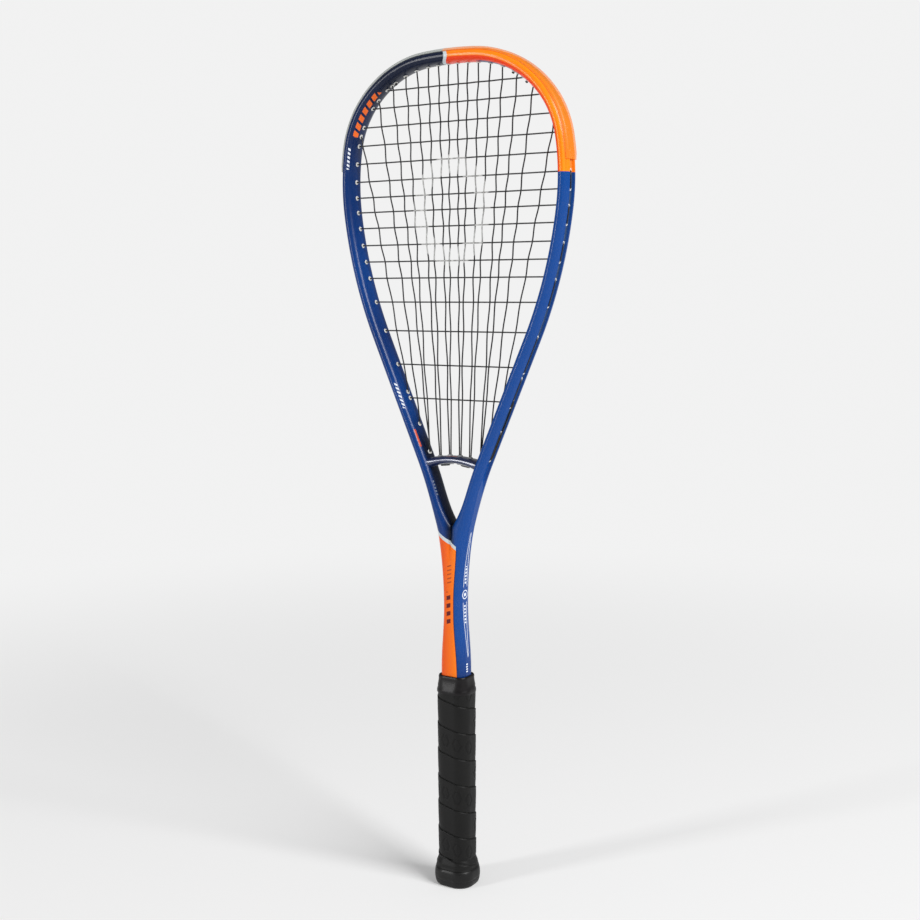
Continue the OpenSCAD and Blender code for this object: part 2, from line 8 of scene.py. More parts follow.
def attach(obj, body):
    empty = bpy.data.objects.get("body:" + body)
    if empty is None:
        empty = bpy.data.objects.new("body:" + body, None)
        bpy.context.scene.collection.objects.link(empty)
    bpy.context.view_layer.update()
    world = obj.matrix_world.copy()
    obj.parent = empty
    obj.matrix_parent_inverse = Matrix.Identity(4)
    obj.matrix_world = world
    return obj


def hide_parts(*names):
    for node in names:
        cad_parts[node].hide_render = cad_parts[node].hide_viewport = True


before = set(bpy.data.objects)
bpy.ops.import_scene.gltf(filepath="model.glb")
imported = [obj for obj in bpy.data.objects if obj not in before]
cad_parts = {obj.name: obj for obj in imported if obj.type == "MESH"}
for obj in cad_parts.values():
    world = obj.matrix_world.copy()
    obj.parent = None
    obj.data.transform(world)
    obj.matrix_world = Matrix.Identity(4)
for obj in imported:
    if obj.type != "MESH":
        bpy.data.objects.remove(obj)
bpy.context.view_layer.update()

# Squash racket. Lengths are millimetres in the functions below and metres in Blender.
# X runs across the head, Y through its depth (front is -Y), Z up the handle.
MM = 0.001

# ---- Sizes, repeated from part.scad ----
RACKET_LEN = 685
RIM_W, RIM_D = 10.1, 20.0
LEG_SLOPE, FLARE_R = 23.6, 297
WAIST_W, HEEL_W, HEEL_D = 17.1, 23.6, 20
GRIP_TOP, GRIP_W, GRIP_D, GRIP_T, GRIP_R = 172, 30.6, 27, 1.6, 11
BUTT_W, BUTT_D = 36, 33
STRING_R = 1.15 / 2
GROOVE = 2.4
BUMPER_W, BUMPER_T = 15.8, 1.3
FRAME_TOP = RACKET_LEN - BUMPER_T
HEEL_Z = GRIP_TOP + 14
ARCS = [(303, 4.6), (90, 44.3), (79, 32), (192, 16.4)]
ARCS.append((370, 90 + LEG_SLOPE - sum(t for _, t in ARCS)))
MAIN_TOP_X = [4.2, 13.7, 23.2, 34.2, 44.9, 58.1, 71.8, 89.6]
HALF = len(MAIN_TOP_X)
BRIDGE_HOLE_X = [4.8, 14.3]
PAIR_GAP, PAIR_Y = 0.7, 0.62
CORNER_Z, SECOND_Z, OUTER_Z = 365.5, 388, 414
BRIDGE_Z, BRIDGE_R, BRIDGE_T, BRIDGE_D, BRIDGE_REACH = 360.3, 74, 6.2, 14, 27
FIRST_CROSS = 27.5
CROSS_GAPS = [13.5, 14.5, 14.5, 14.5, 14.5, 13, 12, 13, 14, 13.5, 13.5, 19.5, 23.5, 27.5, 27.5]
CROSSES = len(CROSS_GAPS) + 1
CROSS_Z = [RACKET_LEN - FIRST_CROSS - sum(CROSS_GAPS[:j]) for j in range(CROSSES)]
BARREL_OUT = 0.9
LIP_IN = RIM_W + BARREL_OUT
STRIP_T = 0.7
LANE, TIE_LANE = 1.25, 2.45
RUN_U = STRING_R + STRIP_T - GROOVE + 0.1
HOLE_U = -GROOVE - 0.6


# ---- The outline: a place on it is (x, z, heading), the heading clockwise from +X ----
def sin(a):
    return math.sin(math.radians(a))


def cos(a):
    return math.cos(math.radians(a))


def turned(p, r, t):
    return (p[0] + r * (sin(p[2] + t) - sin(p[2])), p[1] + r * (cos(p[2] + t) - cos(p[2])), p[2] + t)


def ahead(p, d):
    return (p[0] + d * cos(p[2]), p[1] - d * sin(p[2]), p[2])


STARTS = [(0.0, FRAME_TOP, 0.0)]
for r, t in ARCS:
    STARTS.append(turned(STARTS[-1], r, t))
LENGTHS = [math.radians(t) * r for r, t in ARCS]
HOOP_LEN = sum(LENGTHS)
HIP = STARTS[-1]
FLARE_END_X = WAIST_W / 2 + FLARE_R * (1 - cos(LEG_SLOPE))
LEG_LEN = (HIP[0] - FLARE_END_X) / sin(LEG_SLOPE)
FLARE_START = ahead(HIP, LEG_LEN)
WAIST = turned(FLARE_START, -FLARE_R, -LEG_SLOPE)
FLARE_LEN = math.radians(LEG_SLOPE) * FLARE_R


def ease(t):
    t = max(0.0, min(1.0, t))
    return t * t * (3 - 2 * t)


def outline_at(s):
    """The place at distance s along the outline from the tip: negative s runs down the left."""
    if s < 0:
        x, z, heading = outline_at(-s)
        return (-x, z, -heading)
    for (r, t), start, length in zip(ARCS, STARTS, LENGTHS):
        if s <= length:
            return turned(start, r, math.degrees(s / r))
        s -= length
    if s <= LEG_LEN:
        return ahead(HIP, s)
    s -= LEG_LEN
    if s <= FLARE_LEN:
        return turned(FLARE_START, -FLARE_R, -math.degrees(s / FLARE_R))
    z = WAIST[1] - (s - FLARE_LEN)
    t = ease((WAIST[1] - z) / (WAIST[1] - HEEL_Z))
    return (WAIST_W / 2 + (HEEL_W - WAIST_W) / 2 * t, z, 90.0)


def off(p, u, v=0.0):
    """A point u outside the outline and v behind the middle plane."""
    return Vector((p[0] + u * sin(p[2]), v, p[1] + u * cos(p[2])))


def solve(test, low, high):
    """Where test changes from true to false, by halving."""
    for _ in range(50):
        mid = (low + high) / 2
        low, high = (mid, high) if test(mid) else (low, mid)
    return low


def s_at_z(z, w=LIP_IN):
    return solve(lambda s: off(outline_at(s), -w).z > z, 0, HOOP_LEN + LEG_LEN)


def s_at_x(x, w=LIP_IN):
    return solve(lambda s: off(outline_at(s), -w).x < x, 0, sum(LENGTHS[:3]))


# ---- Meshes ----
def link(name, mesh):
    piece = bpy.data.objects.new(name, mesh)
    bpy.context.scene.collection.objects.link(piece)
    return piece


def lay_attribute(mesh, name, values):
    mesh.attributes.new(name, "FLOAT", "POINT").data.foreach_set("value", values)


def grid_mesh(name, rings, ring_closed=True, path_closed=False, caps=True, attributes=None):
    """A skin over rings of points in millimetres, with one float attribute per entry."""
    n, m = len(rings[0]), len(rings)
    verts = [tuple(c * MM for c in p) for ring in rings for p in ring]
    faces = []
    for i in range(m if path_closed else m - 1):
        for k in range(n if ring_closed else n - 1):
            a, b = i * n + k, i * n + (k + 1) % n
            c, d = (i + 1) % m * n + (k + 1) % n, (i + 1) % m * n + k
            faces.append((a, b, c, d))
    if caps and ring_closed and not path_closed:
        faces.append(tuple(range(n - 1, -1, -1)))
        faces.append(tuple((m - 1) * n + k for k in range(n)))
    mesh = bpy.data.meshes.new(name)
    mesh.from_pydata(verts, [], faces)
    for key, values in (attributes or {}).items():
        lay_attribute(mesh, key, values)
    fix_normals(mesh)
    return mesh


def fix_normals(mesh):
    bm = bmesh.new()
    bm.from_mesh(mesh)
    bmesh.ops.recalc_face_normals(bm, faces=bm.faces)
    bm.to_mesh(mesh)
    bm.free()
    mesh.polygons.foreach_set("use_smooth", [True] * len(mesh.polygons))


def join(name, meshes):
    """One mesh from several, keeping their attributes."""
    bm = bmesh.new()
    for mesh in meshes:
        bm.from_mesh(mesh)
    whole = bpy.data.meshes.new(name)
    bm.to_mesh(whole)
    bm.free()
    whole.polygons.foreach_set("use_smooth", [True] * len(whole.polygons))
    return whole


def crease(mesh, angle):
    bm = bmesh.new()
    bm.from_mesh(mesh)
    for e in bm.edges:
        if len(e.link_faces) == 2 and e.calc_face_angle(0) > math.radians(angle):
            e.smooth = False
    bm.to_mesh(mesh)
    bm.free()


def bulge(c, e):
    return math.copysign(abs(c) ** (2 / e), c)


# ---- Materials ----
class Nodes:
    """A small writer of node trees: each call adds a node and returns its output."""

    def __init__(self, name):
        self.material = bpy.data.materials.new(name)
        self.material.use_nodes = True
        self.tree = self.material.node_tree
        self.shader = self.tree.nodes["Principled BSDF"]

    def put(self, socket, value):
        if isinstance(value, bpy.types.NodeSocket):
            self.tree.links.new(value, socket)
        elif isinstance(value, (tuple, list)) and len(value) == 3 and socket.type == "RGBA":
            socket.default_value = (*value, 1)
        else:
            socket.default_value = value

    def add(self, kind, out=0, props=None, **inputs):
        node = self.tree.nodes.new("ShaderNode" + kind)
        for key, value in (props or {}).items():
            setattr(node, key, value)
        for key, value in inputs.items():
            self.put(node.inputs[int(key[1:])] if key[0] == "i" and key[1:].isdigit()
                     else node.inputs[key.replace("_", " ")], value)
        return node.outputs[out]

    def math(self, kind, a, b=0.0, c=0.0, clamp=False):
        return self.add("Math", 0, {"operation": kind, "use_clamp": clamp}, i0=a, i1=b, i2=c)

    def attribute(self, name):
        return self.add("Attribute", "Fac", {"attribute_name": name})

    def position(self):
        """Object coordinates, in millimetres, as x, y and z."""
        raw = self.add("TexCoord", "Object")
        scaled = self.add("VectorMath", 0, {"operation": "SCALE"}, i0=raw)
        scaled.node.inputs[3].default_value = 1 / MM
        split = self.add("SeparateXYZ", 0, None, i0=scaled).node
        return split.outputs[0], split.outputs[1], split.outputs[2]

    def noise(self, scale, detail=3.0, roughness=0.5, vector=None, out=0):
        vector = vector or self.add("TexCoord", "Object")
        return self.add("TexNoise", out, None, Vector=vector, Scale=scale, Detail=detail,
                        Roughness=roughness)

    def step(self, value, edge, soft=0.2):
        """0 below the edge and 1 above it, over a soft width."""
        return self.add("MapRange", 0, {"clamp": True, "interpolation_type": "SMOOTHSTEP"},
                        i0=value, i1=self.shifted(edge, -soft / 2), i2=self.shifted(edge, soft / 2),
                        i3=0.0, i4=1.0)

    def shifted(self, value, by):
        return self.math("ADD", value, by) if isinstance(value, bpy.types.NodeSocket) else value + by

    def band(self, value, low, high, soft=0.2):
        return self.math("MULTIPLY", self.step(value, low, soft),
                         self.math("SUBTRACT", 1.0, self.step(value, high, soft)))

    def ramp(self, value, low, high, at_low=0.0, at_high=1.0):
        return self.add("MapRange", 0, {"clamp": True}, i0=value, i1=low, i2=high, i3=at_low, i4=at_high)

    def both(self, *masks):
        out = masks[0]
        for m in masks[1:]:
            out = self.math("MULTIPLY", out, m)
        return out

    def any(self, *masks):
        out = masks[0]
        for m in masks[1:]:
            out = self.math("MAXIMUM", out, m)
        return out

    def invert(self, mask):
        return self.math("SUBTRACT", 1.0, mask)

    def mix(self, mask, a, b):
        node = self.tree.nodes.new("ShaderNodeMix")
        node.data_type = "RGBA"
        for socket, value in ((node.inputs[0], mask), (node.inputs[6], a), (node.inputs[7], b)):
            self.put(socket, value)
        return node.outputs[2]

    def bump(self, height, strength, distance, normal=None):
        more = {"Normal": normal} if normal else {}
        return self.add("Bump", 0, None, Strength=strength, Distance=distance, Height=height, **more)

    def finish(self, **inputs):
        for key, value in inputs.items():
            self.put(self.shader.inputs[key.replace("_", " ")], value)
        return self.material


def srgb(r, g, b):
    return tuple((c / 255 / 12.92) if c / 255 <= 0.04045 else ((c / 255 + 0.055) / 1.055) ** 2.4
                 for c in (r, g, b))


NAVY = srgb(2, 16, 44)
BLUE = srgb(1, 38, 98)
BRIGHT_BLUE = srgb(1, 64, 138)
ORANGE = srgb(250, 122, 0)
RED_ORANGE = srgb(240, 62, 4)
DEEP_ORANGE = srgb(232, 88, 10)
PALE = srgb(196, 206, 210)
WHITE = srgb(226, 232, 240)
DARK_RED = srgb(96, 18, 22)


def paint_material():
    """Clear-coated paint with fine flakes: navy and blue with an orange run round the head's right and
    down the shaft's front, pale bands where they meet, small plain marks, and painted light and shade on the blue."""
    n = Nodes("painted_carbon")
    x, y, z = n.position()
    s = n.attribute("outline_mm")
    turn = n.attribute("round_deg")
    depth = n.math("ABSOLUTE", y)
    front = n.step(n.math("MULTIPLY", y, -1.0), 0.0, 0.4)
    on_hoop = n.step(z, 330.0, 1.0)
    left = n.step(n.math("MULTIPLY", s, -1.0), 0.0, 1.0)
    right = n.invert(left)

    # Fine flakes and a slow drift of tone in the base coat, with painted light and shade on the blue
    flake = n.noise(5200.0, 2.0)
    drift = n.noise(9.0, 2.0)
    blue_low = n.mix(n.ramp(drift, 0.3, 0.7), BLUE, BRIGHT_BLUE)
    # Painted light: the right half of the frame is painted a brighter blue
    blue = n.mix(n.both(right, n.step(z, 200.0, 40.0)), blue_low, BRIGHT_BLUE)
    # The left hoop darkens to navy towards the top: partly navy paint, partly painted shade
    deep = n.mix(n.ramp(s, -215.0, -70.0), blue, NAVY)
    base = n.mix(n.both(left, on_hoop), blue, deep)

    # Painted shade: the inner faces by the throat and the valley between the legs are painted navy
    inside = n.step(turn, 142.0, 30.0)
    base = n.mix(n.both(inside, n.band(z, 300.0, 385.0, 30.0)), base, NAVY)
    valley_shade = n.both(n.invert(n.step(n.math("ABSOLUTE", x), 3.5, 6.0)), n.band(z, 286.0, 316.0, 8.0))
    base = n.mix(valley_shade, base, NAVY)

    # The orange run, from just left of the tip to a square cut low on the right of the head
    hook = n.math("MULTIPLY", depth, depth)
    head_start = n.math("ADD", -5.0, n.math("MULTIPLY", hook, 0.055))
    orange_mask = n.both(on_hoop, n.band(s, head_start, ORANGE_END_S, 0.35))
    satin = n.noise(1.0, 3.0, 0.6, n.add(
        "CombineXYZ", 0, None, X=n.math("MULTIPLY", s, 0.02), Y=n.math("MULTIPLY", turn, 0.07)))
    orange = n.mix(n.ramp(satin, 0.42, 0.62), ORANGE, srgb(253, 140, 14))
    orange = n.mix(n.step(turn, 103.0, 5.0), orange, RED_ORANGE)
    base = n.mix(orange_mask, base, orange)
    pale_mask = n.both(on_hoop, n.band(s, n.math("SUBTRACT", head_start, 3.2), head_start, 0.35))
    base = n.mix(pale_mask, base, PALE)
    # A blue edge runs along the inner face of the orange
    edge = n.both(orange_mask, n.band(s, 26.0, 84.0, 6.0), n.step(turn, 150.0, 3.0))
    base = n.mix(edge, base, BLUE)

    # The shaft: orange on the faces up to a pale slanted line, blue sides with white pinstripes
    below = n.invert(on_hoop)
    right_edge = n.math("ADD", 3.4, n.add(
        "MapRange", 0, {"clamp": True, "interpolation_type": "SMOOTHSTEP"},
        i0=n.math("ABSOLUTE", n.math("SUBTRACT", z, 238.0)), i1=4.0, i2=56.0, i3=0.0, i4=3.0))
    slant = n.math("ADD", z, n.math("MULTIPLY", x, 0.62))
    slant_z = 291.0
    low_enough = n.invert(n.step(slant, slant_z, 0.3))
    side_half = 4.6
    left_side = n.both(n.step(n.math("MULTIPLY", x, -1.0), 3.0, 0.5),
                       n.invert(n.step(depth, side_half, 0.3)))
    panel = n.both(below, n.invert(n.step(x, right_edge, 0.25)), n.invert(left_side))
    across = n.ramp(x, -5.5, 4.5)
    base = n.mix(n.both(panel, low_enough), base, n.mix(across, DEEP_ORANGE, ORANGE))
    stripe = n.both(panel, n.band(slant, slant_z, slant_z + 3.2, 0.3))
    base = n.mix(stripe, base, PALE)
    corner_line = n.both(below, low_enough, n.band(n.math("SUBTRACT", x, right_edge), 0.0, 0.55, 0.2))
    base = n.mix(corner_line, base, NAVY)
    # Pinstripes meet in a ring emblem half-way up each side
    emblem_z = 249.0
    away = n.math("ABSOLUTE", n.math("SUBTRACT", z, emblem_z))
    spread = n.add("MapRange", 0, {"clamp": True, "interpolation_type": "SMOOTHSTEP"},
                   i0=away, i1=6.0, i2=60.0, i3=2.5, i4=0.4)
    on_side = n.both(below, n.step(n.math("ABSOLUTE", x), n.math("ADD", right_edge, 0.6), 0.3))
    pin = n.both(on_side, n.band(away, 6.5, 52.0, 2.0),
                 n.band(n.math("ABSOLUTE", n.math("SUBTRACT", depth, spread)), -1.0, 0.28, 0.2))
    ring_r = n.math("SQRT", n.math("ADD", n.math("MULTIPLY", y, y), n.math("MULTIPLY", away, away)))
    emblem = n.both(on_side, n.any(n.band(ring_r, 3.1, 3.9, 0.2), n.invert(n.step(ring_r, 1.5, 0.2))))
    dashes = n.both(on_side, n.band(away, 9.0, 24.0, 0.3), n.invert(n.step(depth, 1.1, 0.2)),
                    n.step(n.math("PINGPONG", z, 1.4), 0.6, 0.2))
    ticks = n.both(on_side, n.band(z, 184.0, 192.0, 0.3), n.band(y, -3.4, -1.0, 0.2),
                   n.step(n.math("PINGPONG", z, 1.0), 0.45, 0.2))
    base = n.mix(n.any(pin, emblem, dashes, ticks), base, WHITE)
    # Plain slanted bars up the front of the orange panel
    lean = n.math("ADD", z, n.math("MULTIPLY", x, -0.35))
    bars = n.both(panel, front, low_enough, n.band(z, 223.0, 252.0, 0.2), n.band(x, -3.0, 0.8, 0.2),
                  n.step(n.math("PINGPONG", lean, 3.3), 1.5, 0.25))
    thin = n.both(panel, front, low_enough, n.band(z, 258.0, 276.0, 0.2), n.band(x, -2.2, 1.8, 0.2),
                  n.step(n.math("PINGPONG", lean, 1.7), 1.15, 0.2))
    base = n.mix(bars, base, DARK_RED)
    base = n.mix(n.math("MULTIPLY", thin, 0.6), base, DARK_RED)

    # Plain blocks in orange on the inner face at the upper left, and short dashes low on the legs
    block_run = n.both(left, n.band(z, 622.0, 656.0, 0.4), n.band(turn, 126.0, 162.0, 2.0),
                       n.step(n.math("PINGPONG", n.math("ADD", s, n.math("MULTIPLY", turn, 0.07)), 3.9),
                              1.3, 0.3))
    base = n.mix(n.both(block_run, front), base, srgb(244, 112, 40))
    leg_dash = n.both(n.band(z, 370.0, 384.0, 0.4), n.band(turn, 128.0, 142.0, 2.0), front, left)
    base = n.mix(leg_dash, base, srgb(214, 80, 40))
    # White ticks on the left of the hoop
    tick_run = n.both(left, front, n.band(turn, 108.0, 128.0, 2.0), n.any(
        n.band(z, 596.0, 614.0, 0.3), n.band(z, 401.0, 422.0, 0.3)),
        n.step(n.math("PINGPONG", n.math("ADD", z, n.math("MULTIPLY", turn, 0.06)), 1.6), 0.7, 0.2))
    base = n.mix(tick_run, base, WHITE)
    leg_ticks = n.both(left, n.band(z, 330.0, 343.0, 0.4), n.band(turn, 134.0, 144.0, 2.0),
                       n.step(n.math("PINGPONG", z, 1.3), 0.6, 0.2))
    base = n.mix(n.math("MULTIPLY", leg_ticks, 0.35), base, PALE)

    sparkle = n.mix(n.math("MULTIPLY", n.ramp(flake, 0.62, 0.8), 0.25), base, WHITE)
    peel = n.noise(420.0, 1.0)
    wear = n.noise(60.0, 5.0, 0.65)
    return n.finish(
        Base_Color=sparkle, Metallic=0.0, Roughness=n.ramp(wear, 0.35, 0.75, 0.34, 0.44),
        Specular_IOR_Level=0.05, Coat_Weight=0.45, Coat_Roughness=0.2, Coat_IOR=1.45,
        Normal=n.bump(peel, 0.04, 0.0002))


def string_material():
    """Black nylon with a fine twist and, over part of the bed, a plain pale ring stencil."""
    n = Nodes("black_string")
    x, y, z = n.position()
    ring = n.math("SQRT", n.math("ADD", n.math("POWER", n.math("ABSOLUTE", n.math("SUBTRACT", x, -2.0)), 2.0),
                                 n.math("POWER", n.math("MULTIPLY", n.math("SUBTRACT", z, 560.0), 0.82), 2.0)))
    stencil = n.both(n.band(ring, 24.0, 36.0, 1.0), n.step(n.math("MULTIPLY", y, -1.0), -0.35, 0.3))
    fade = n.ramp(n.noise(300.0, 4.0, 0.6), 0.3, 0.65, 0.25, 0.85)
    length = n.attribute("along_mm")
    around = n.attribute("around")
    twist = n.math("SINE", n.math("ADD", n.math("MULTIPLY", length, 2.6), n.math("MULTIPLY", around, 6.2832)))
    colour = n.mix(n.ramp(n.noise(900.0), 0.3, 0.7), srgb(10, 10, 12), srgb(22, 22, 25))
    return n.finish(
        Base_Color=n.mix(n.both(stencil, fade), colour, srgb(214, 214, 212)),
        Roughness=n.ramp(twist, -1.0, 1.0, 0.3, 0.46), Normal=n.bump(twist, 0.25, 0.00006),
        Specular_IOR_Level=0.5)


def clear_material(name, tint, tint_deep, rough, see, cover, warm=None):
    """Clear nylon: milky and scuffed, and warmed by the orange paint beneath it on the right."""
    n = Nodes(name)
    scuff = n.noise(90.0, 6.0, 0.7)
    colour = n.mix(n.ramp(scuff, 0.35, 0.7), tint, tint_deep)
    x, _, z = n.position()
    if warm:
        colour = n.mix(n.both(n.step(x, -5.0, 3.0), n.step(z, 585.0, 1.0)), colour, warm)
        colour = n.mix(n.attribute("cup"), colour, srgb(222, 222, 218))
    return n.finish(
        Base_Color=colour, Roughness=n.ramp(scuff, 0.3, 0.75, rough, rough + 0.2),
        Transmission_Weight=see, IOR=1.38, Specular_IOR_Level=0.5, Alpha=cover,
        Normal=n.bump(n.noise(700.0, 2.0), 0.05, 0.0001))


def rubber_material(name, tone, rough, coat):
    n = Nodes(name)
    grain = n.noise(1500.0, 3.0)
    cloud = n.noise(40.0, 4.0)
    return n.finish(
        Base_Color=n.mix(n.ramp(cloud, 0.3, 0.7), srgb(*tone), srgb(*[c + 7 for c in tone])),
        Roughness=n.ramp(cloud, 0.3, 0.7, rough, rough + 0.1), Specular_IOR_Level=0.25,
        Coat_Weight=coat, Coat_Roughness=0.16,
        Normal=n.bump(grain, 0.1, 0.0001))


def wrap_material():
    """Soft polyurethane wrap: fine grain and pores."""
    n = Nodes("grip_wrap")
    pore = n.add("TexVoronoi", "Distance", None, Vector=n.add("TexCoord", "Object"), Scale=1300.0)
    grain = n.noise(2600.0, 3.0, 0.6)
    cloud = n.noise(28.0, 5.0, 0.6)
    relief = n.attribute("relief")
    colour = n.mix(n.ramp(cloud, 0.3, 0.7), srgb(8, 8, 8), srgb(17, 17, 16))
    # Painted shade: the pressed lozenges and the seams between turns are painted darker
    colour = n.mix(n.ramp(relief, 0.0, 1.0), colour, srgb(4, 4, 4))
    height = n.math("ADD", n.math("MULTIPLY", n.ramp(pore, 0.0, 0.25), 0.6), n.math("MULTIPLY", grain, 0.4))
    return n.finish(
        Base_Color=colour, Roughness=n.ramp(cloud, 0.3, 0.7, 0.46, 0.6),
        Specular_IOR_Level=0.24, Normal=n.bump(height, 0.18, 0.00012))


def foam_material():
    n = Nodes("handle_foam")
    cell = n.add("TexVoronoi", "Distance", None, Vector=n.add("TexCoord", "Object"), Scale=700.0)
    tone = n.noise(40.0, 4.0)
    return n.finish(
        Base_Color=n.mix(n.ramp(tone, 0.3, 0.7), srgb(188, 150, 96), srgb(206, 172, 118)),
        Roughness=n.ramp(tone, 0.3, 0.7, 0.75, 0.9), Normal=n.bump(cell, 0.4, 0.0002))


def steel_material():
    n = Nodes("staple_steel")
    streak = n.noise(900.0, 4.0)
    return n.finish(
        Base_Color=n.mix(n.ramp(streak, 0.3, 0.7), srgb(150, 152, 156), srgb(188, 190, 194)),
        Metallic=1.0, Roughness=n.ramp(streak, 0.3, 0.7, 0.25, 0.4), Normal=n.bump(streak, 0.08, 0.0001))


# Where the orange run is cut square, as a distance along the outline
ORANGE_END_S = s_at_z(585, RIM_W / 2)
PAINT = paint_material()
STRING = string_material()
CLEAR = clear_material("clear_nylon", srgb(52, 76, 112), srgb(34, 56, 92), 0.3, 0.0, 0.9,
                       srgb(236, 132, 50))
PLATE = clear_material("clear_plate", srgb(196, 198, 198), srgb(170, 172, 172), 0.25, 0.2, 0.85)
GUARD = clear_material("clear_guard", srgb(172, 178, 170), srgb(138, 144, 144), 0.24, 0.0, 0.52,
                       srgb(250, 146, 34))
WRAP = wrap_material()
COLLAR_RUBBER = rubber_material("collar_rubber", (6, 3, 5), 0.38, 0.05)
CAP_RUBBER = rubber_material("cap_rubber", (8, 8, 8), 0.45, 0.1)
TAPE = rubber_material("black_tape", (30, 30, 31), 0.5, 0.1)
FOAM = foam_material()
STEEL = steel_material()


def place(piece, material, slot, *replaced):
    piece.data.materials.clear()
    piece.data.materials.append(material)
    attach(piece, "root")
    if replaced:
        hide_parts(*replaced)
    return piece


# ---- The frame: one smooth tube, grooved outside, whose halves merge into the shaft ----
CROTCH_Z, CROTCH_LEN, CROTCH_SWELL, OVERLAP = 300, 40, 8, 1.5
ROUND_E, FLAT_E, VALLEY_LEN = 2.2, 8, 50
GROOVE_END_Z, GROOVE_FADE = 348, 16
TUBE_END = 6
FLOOR_HALF, LIP_HALF = 3.1, 3.7
FRAME_STEP = 2.6
ROUND_STEPS = 26
# The part of the valley between the legs that is filled: its heights and half-width in metres
VALLEY_LOW_M, VALLEY_HIGH_M, VALLEY_HALF_M = 0.25, 0.303, 0.0022


def tube_w(p):
    reach = (p[0] + OVERLAP) / sin(p[2]) if p[2] > 5 else 1e9
    if p[2] < 90 or p[1] > CROTCH_Z + CROTCH_LEN:
        return RIM_W
    if p[1] > CROTCH_Z:
        return min(reach, RIM_W + CROTCH_SWELL * ((CROTCH_Z + CROTCH_LEN - p[1]) / CROTCH_LEN) ** 3)
    return reach


def tube_half_d(p):
    return RIM_D / 2 + (HEEL_D - RIM_D) / 2 * ease((WAIST[1] - p[1]) / (WAIST[1] - GRIP_TOP))


def groove_at(p):
    return GROOVE * max(0.0, min(1.0, 1 - (GROOVE_END_Z - p[1]) / GROOVE_FADE))


def tube_section(p):
    """Points (u, v, degrees round) about the tube, from the groove's middle over a face and back."""
    w, d, g = tube_w(p), tube_half_d(p), groove_at(p)
    e = ROUND_E + (FLAT_E - ROUND_E) * ease((CROTCH_Z - p[1]) / VALLEY_LEN)
    lip_u = -0.12
    half = [(-g, 0.0), (-g, FLOOR_HALF * 0.5), (-g, FLOOR_HALF * 0.93), (-g * 0.93, FLOOR_HALF),
            (-g * 0.5, (FLOOR_HALF + LIP_HALF) / 2 - 0.05), (lip_u - 0.08 * g, LIP_HALF - 0.06),
            (lip_u, LIP_HALF + 0.12)]
    half = [(u, v, 0.0) for u, v in half]
    start = math.degrees(math.asin(min(1.0, (LIP_HALF + 0.5) / d) ** (ROUND_E / 2)))
    for k in range(ROUND_STEPS + 1):
        a = start + (180 - start) * k / ROUND_STEPS
        ee = e if a > 90 else ROUND_E
        half.append((-w / 2 + w / 2 * bulge(cos(a), ee) - 0.05, d * bulge(sin(a), ee), a))
    return half + [(u, -v, a) for u, v, a in reversed(half[1:-1])]


def half_tube():
    total = HOOP_LEN + LEG_LEN + FLARE_LEN + WAIST[1] - TUBE_END
    count = int(total / FRAME_STEP)
    places = [(total * k / count) for k in range(count + 1)]
    rings, along, round_deg = [], [], []
    for s in places:
        p = outline_at(s)
        section = tube_section(p)
        rings.append([off(p, u, v) for u, v, _ in section])
        along += [s] * len(section)
        round_deg += [a for _, _, a in section]
    return grid_mesh("half", rings, attributes={"outline_mm": along, "round_deg": round_deg})


def frame_piece():
    """The right half, cut at the middle plane, and its mirror image, welded into one skin."""
    bm = bmesh.new()
    bm.from_mesh(half_tube())
    bmesh.ops.bisect_plane(bm, geom=bm.verts[:] + bm.edges[:] + bm.faces[:], dist=1e-7,
                           plane_co=(0, 0, 0), plane_no=(1, 0, 0), clear_inner=True)
    s_layer = bm.verts.layers.float["outline_mm"]
    doubled = bmesh.ops.duplicate(bm, geom=bm.verts[:] + bm.edges[:] + bm.faces[:])["geom"]
    copies = [g for g in doubled if isinstance(g, bmesh.types.BMVert)]
    for v in copies:
        v.co.x = -v.co.x
        v[s_layer] = -v[s_layer]
    bmesh.ops.reverse_faces(bm, faces=[g for g in doubled if isinstance(g, bmesh.types.BMFace)])
    ends = [f for f in bm.faces if abs(f.normal.x) > 0.999 and all(abs(v.co.x) < 1e-5 for v in f.verts)]
    bmesh.ops.delete(bm, geom=ends, context="FACES")
    bmesh.ops.remove_doubles(bm, verts=bm.verts[:], dist=2e-6)
    # The valley where the halves merge is filled a little, as the moulded carbon is
    for _ in range(12):
        near = [v for v in bm.verts
                if VALLEY_LOW_M < v.co.z < VALLEY_HIGH_M and abs(v.co.x) < VALLEY_HALF_M]
        bmesh.ops.smooth_vert(bm, verts=near, factor=0.5, use_axis_x=False, use_axis_y=True,
                              use_axis_z=False)
    mesh = bpy.data.meshes.new("racket_frame")
    bm.to_mesh(mesh)
    bm.free()
    mesh.polygons.foreach_set("use_smooth", [True] * len(mesh.polygons))
    crease(mesh, 50)
    return link("racket_frame", mesh)


place(frame_piece(), PAINT, "painted_carbon", "frame")


# ---- Holes round the frame, as distances along the outline ----
def side_of(i):
    return -1 if i < HALF else 1


def pair_of(i):
    return HALF - 1 - i if i < HALF else i - HALF


def hole_top(i):
    return side_of(i) * s_at_x(MAIN_TOP_X[pair_of(i)])


def hole_leg(i):
    k = pair_of(i)
    return side_of(i) * s_at_z({7: OUTER_Z, 6: SECOND_Z}.get(k, CORNER_Z))


def hole_cross(j, side):
    return side * s_at_z(CROSS_Z[j])


TIE_S = hole_top(2) + 4.5
CROSS_FIRST_TIE = hole_cross(CROSSES - 2, 1) + 5.5
CROSS_LAST_TIE = hole_cross(0, 1) + 5.5
SINGLE_HOLES = ([hole_top(i) for i in range(2 * HALF)] + [hole_leg(i) for i in (0, 1, 14, 15)]
                + [hole_cross(j, side) for j in range(CROSSES) for side in (-1, 1)]
                + [TIE_S, -TIE_S, CROSS_FIRST_TIE, CROSS_LAST_TIE])
CORNER_HOLES = [hole_leg(2), hole_leg(13)]
SPLIT_S = sum(LENGTHS[:3]) + LENGTHS[3] / 3
STRIP_END_S = s_at_z(346, 0)


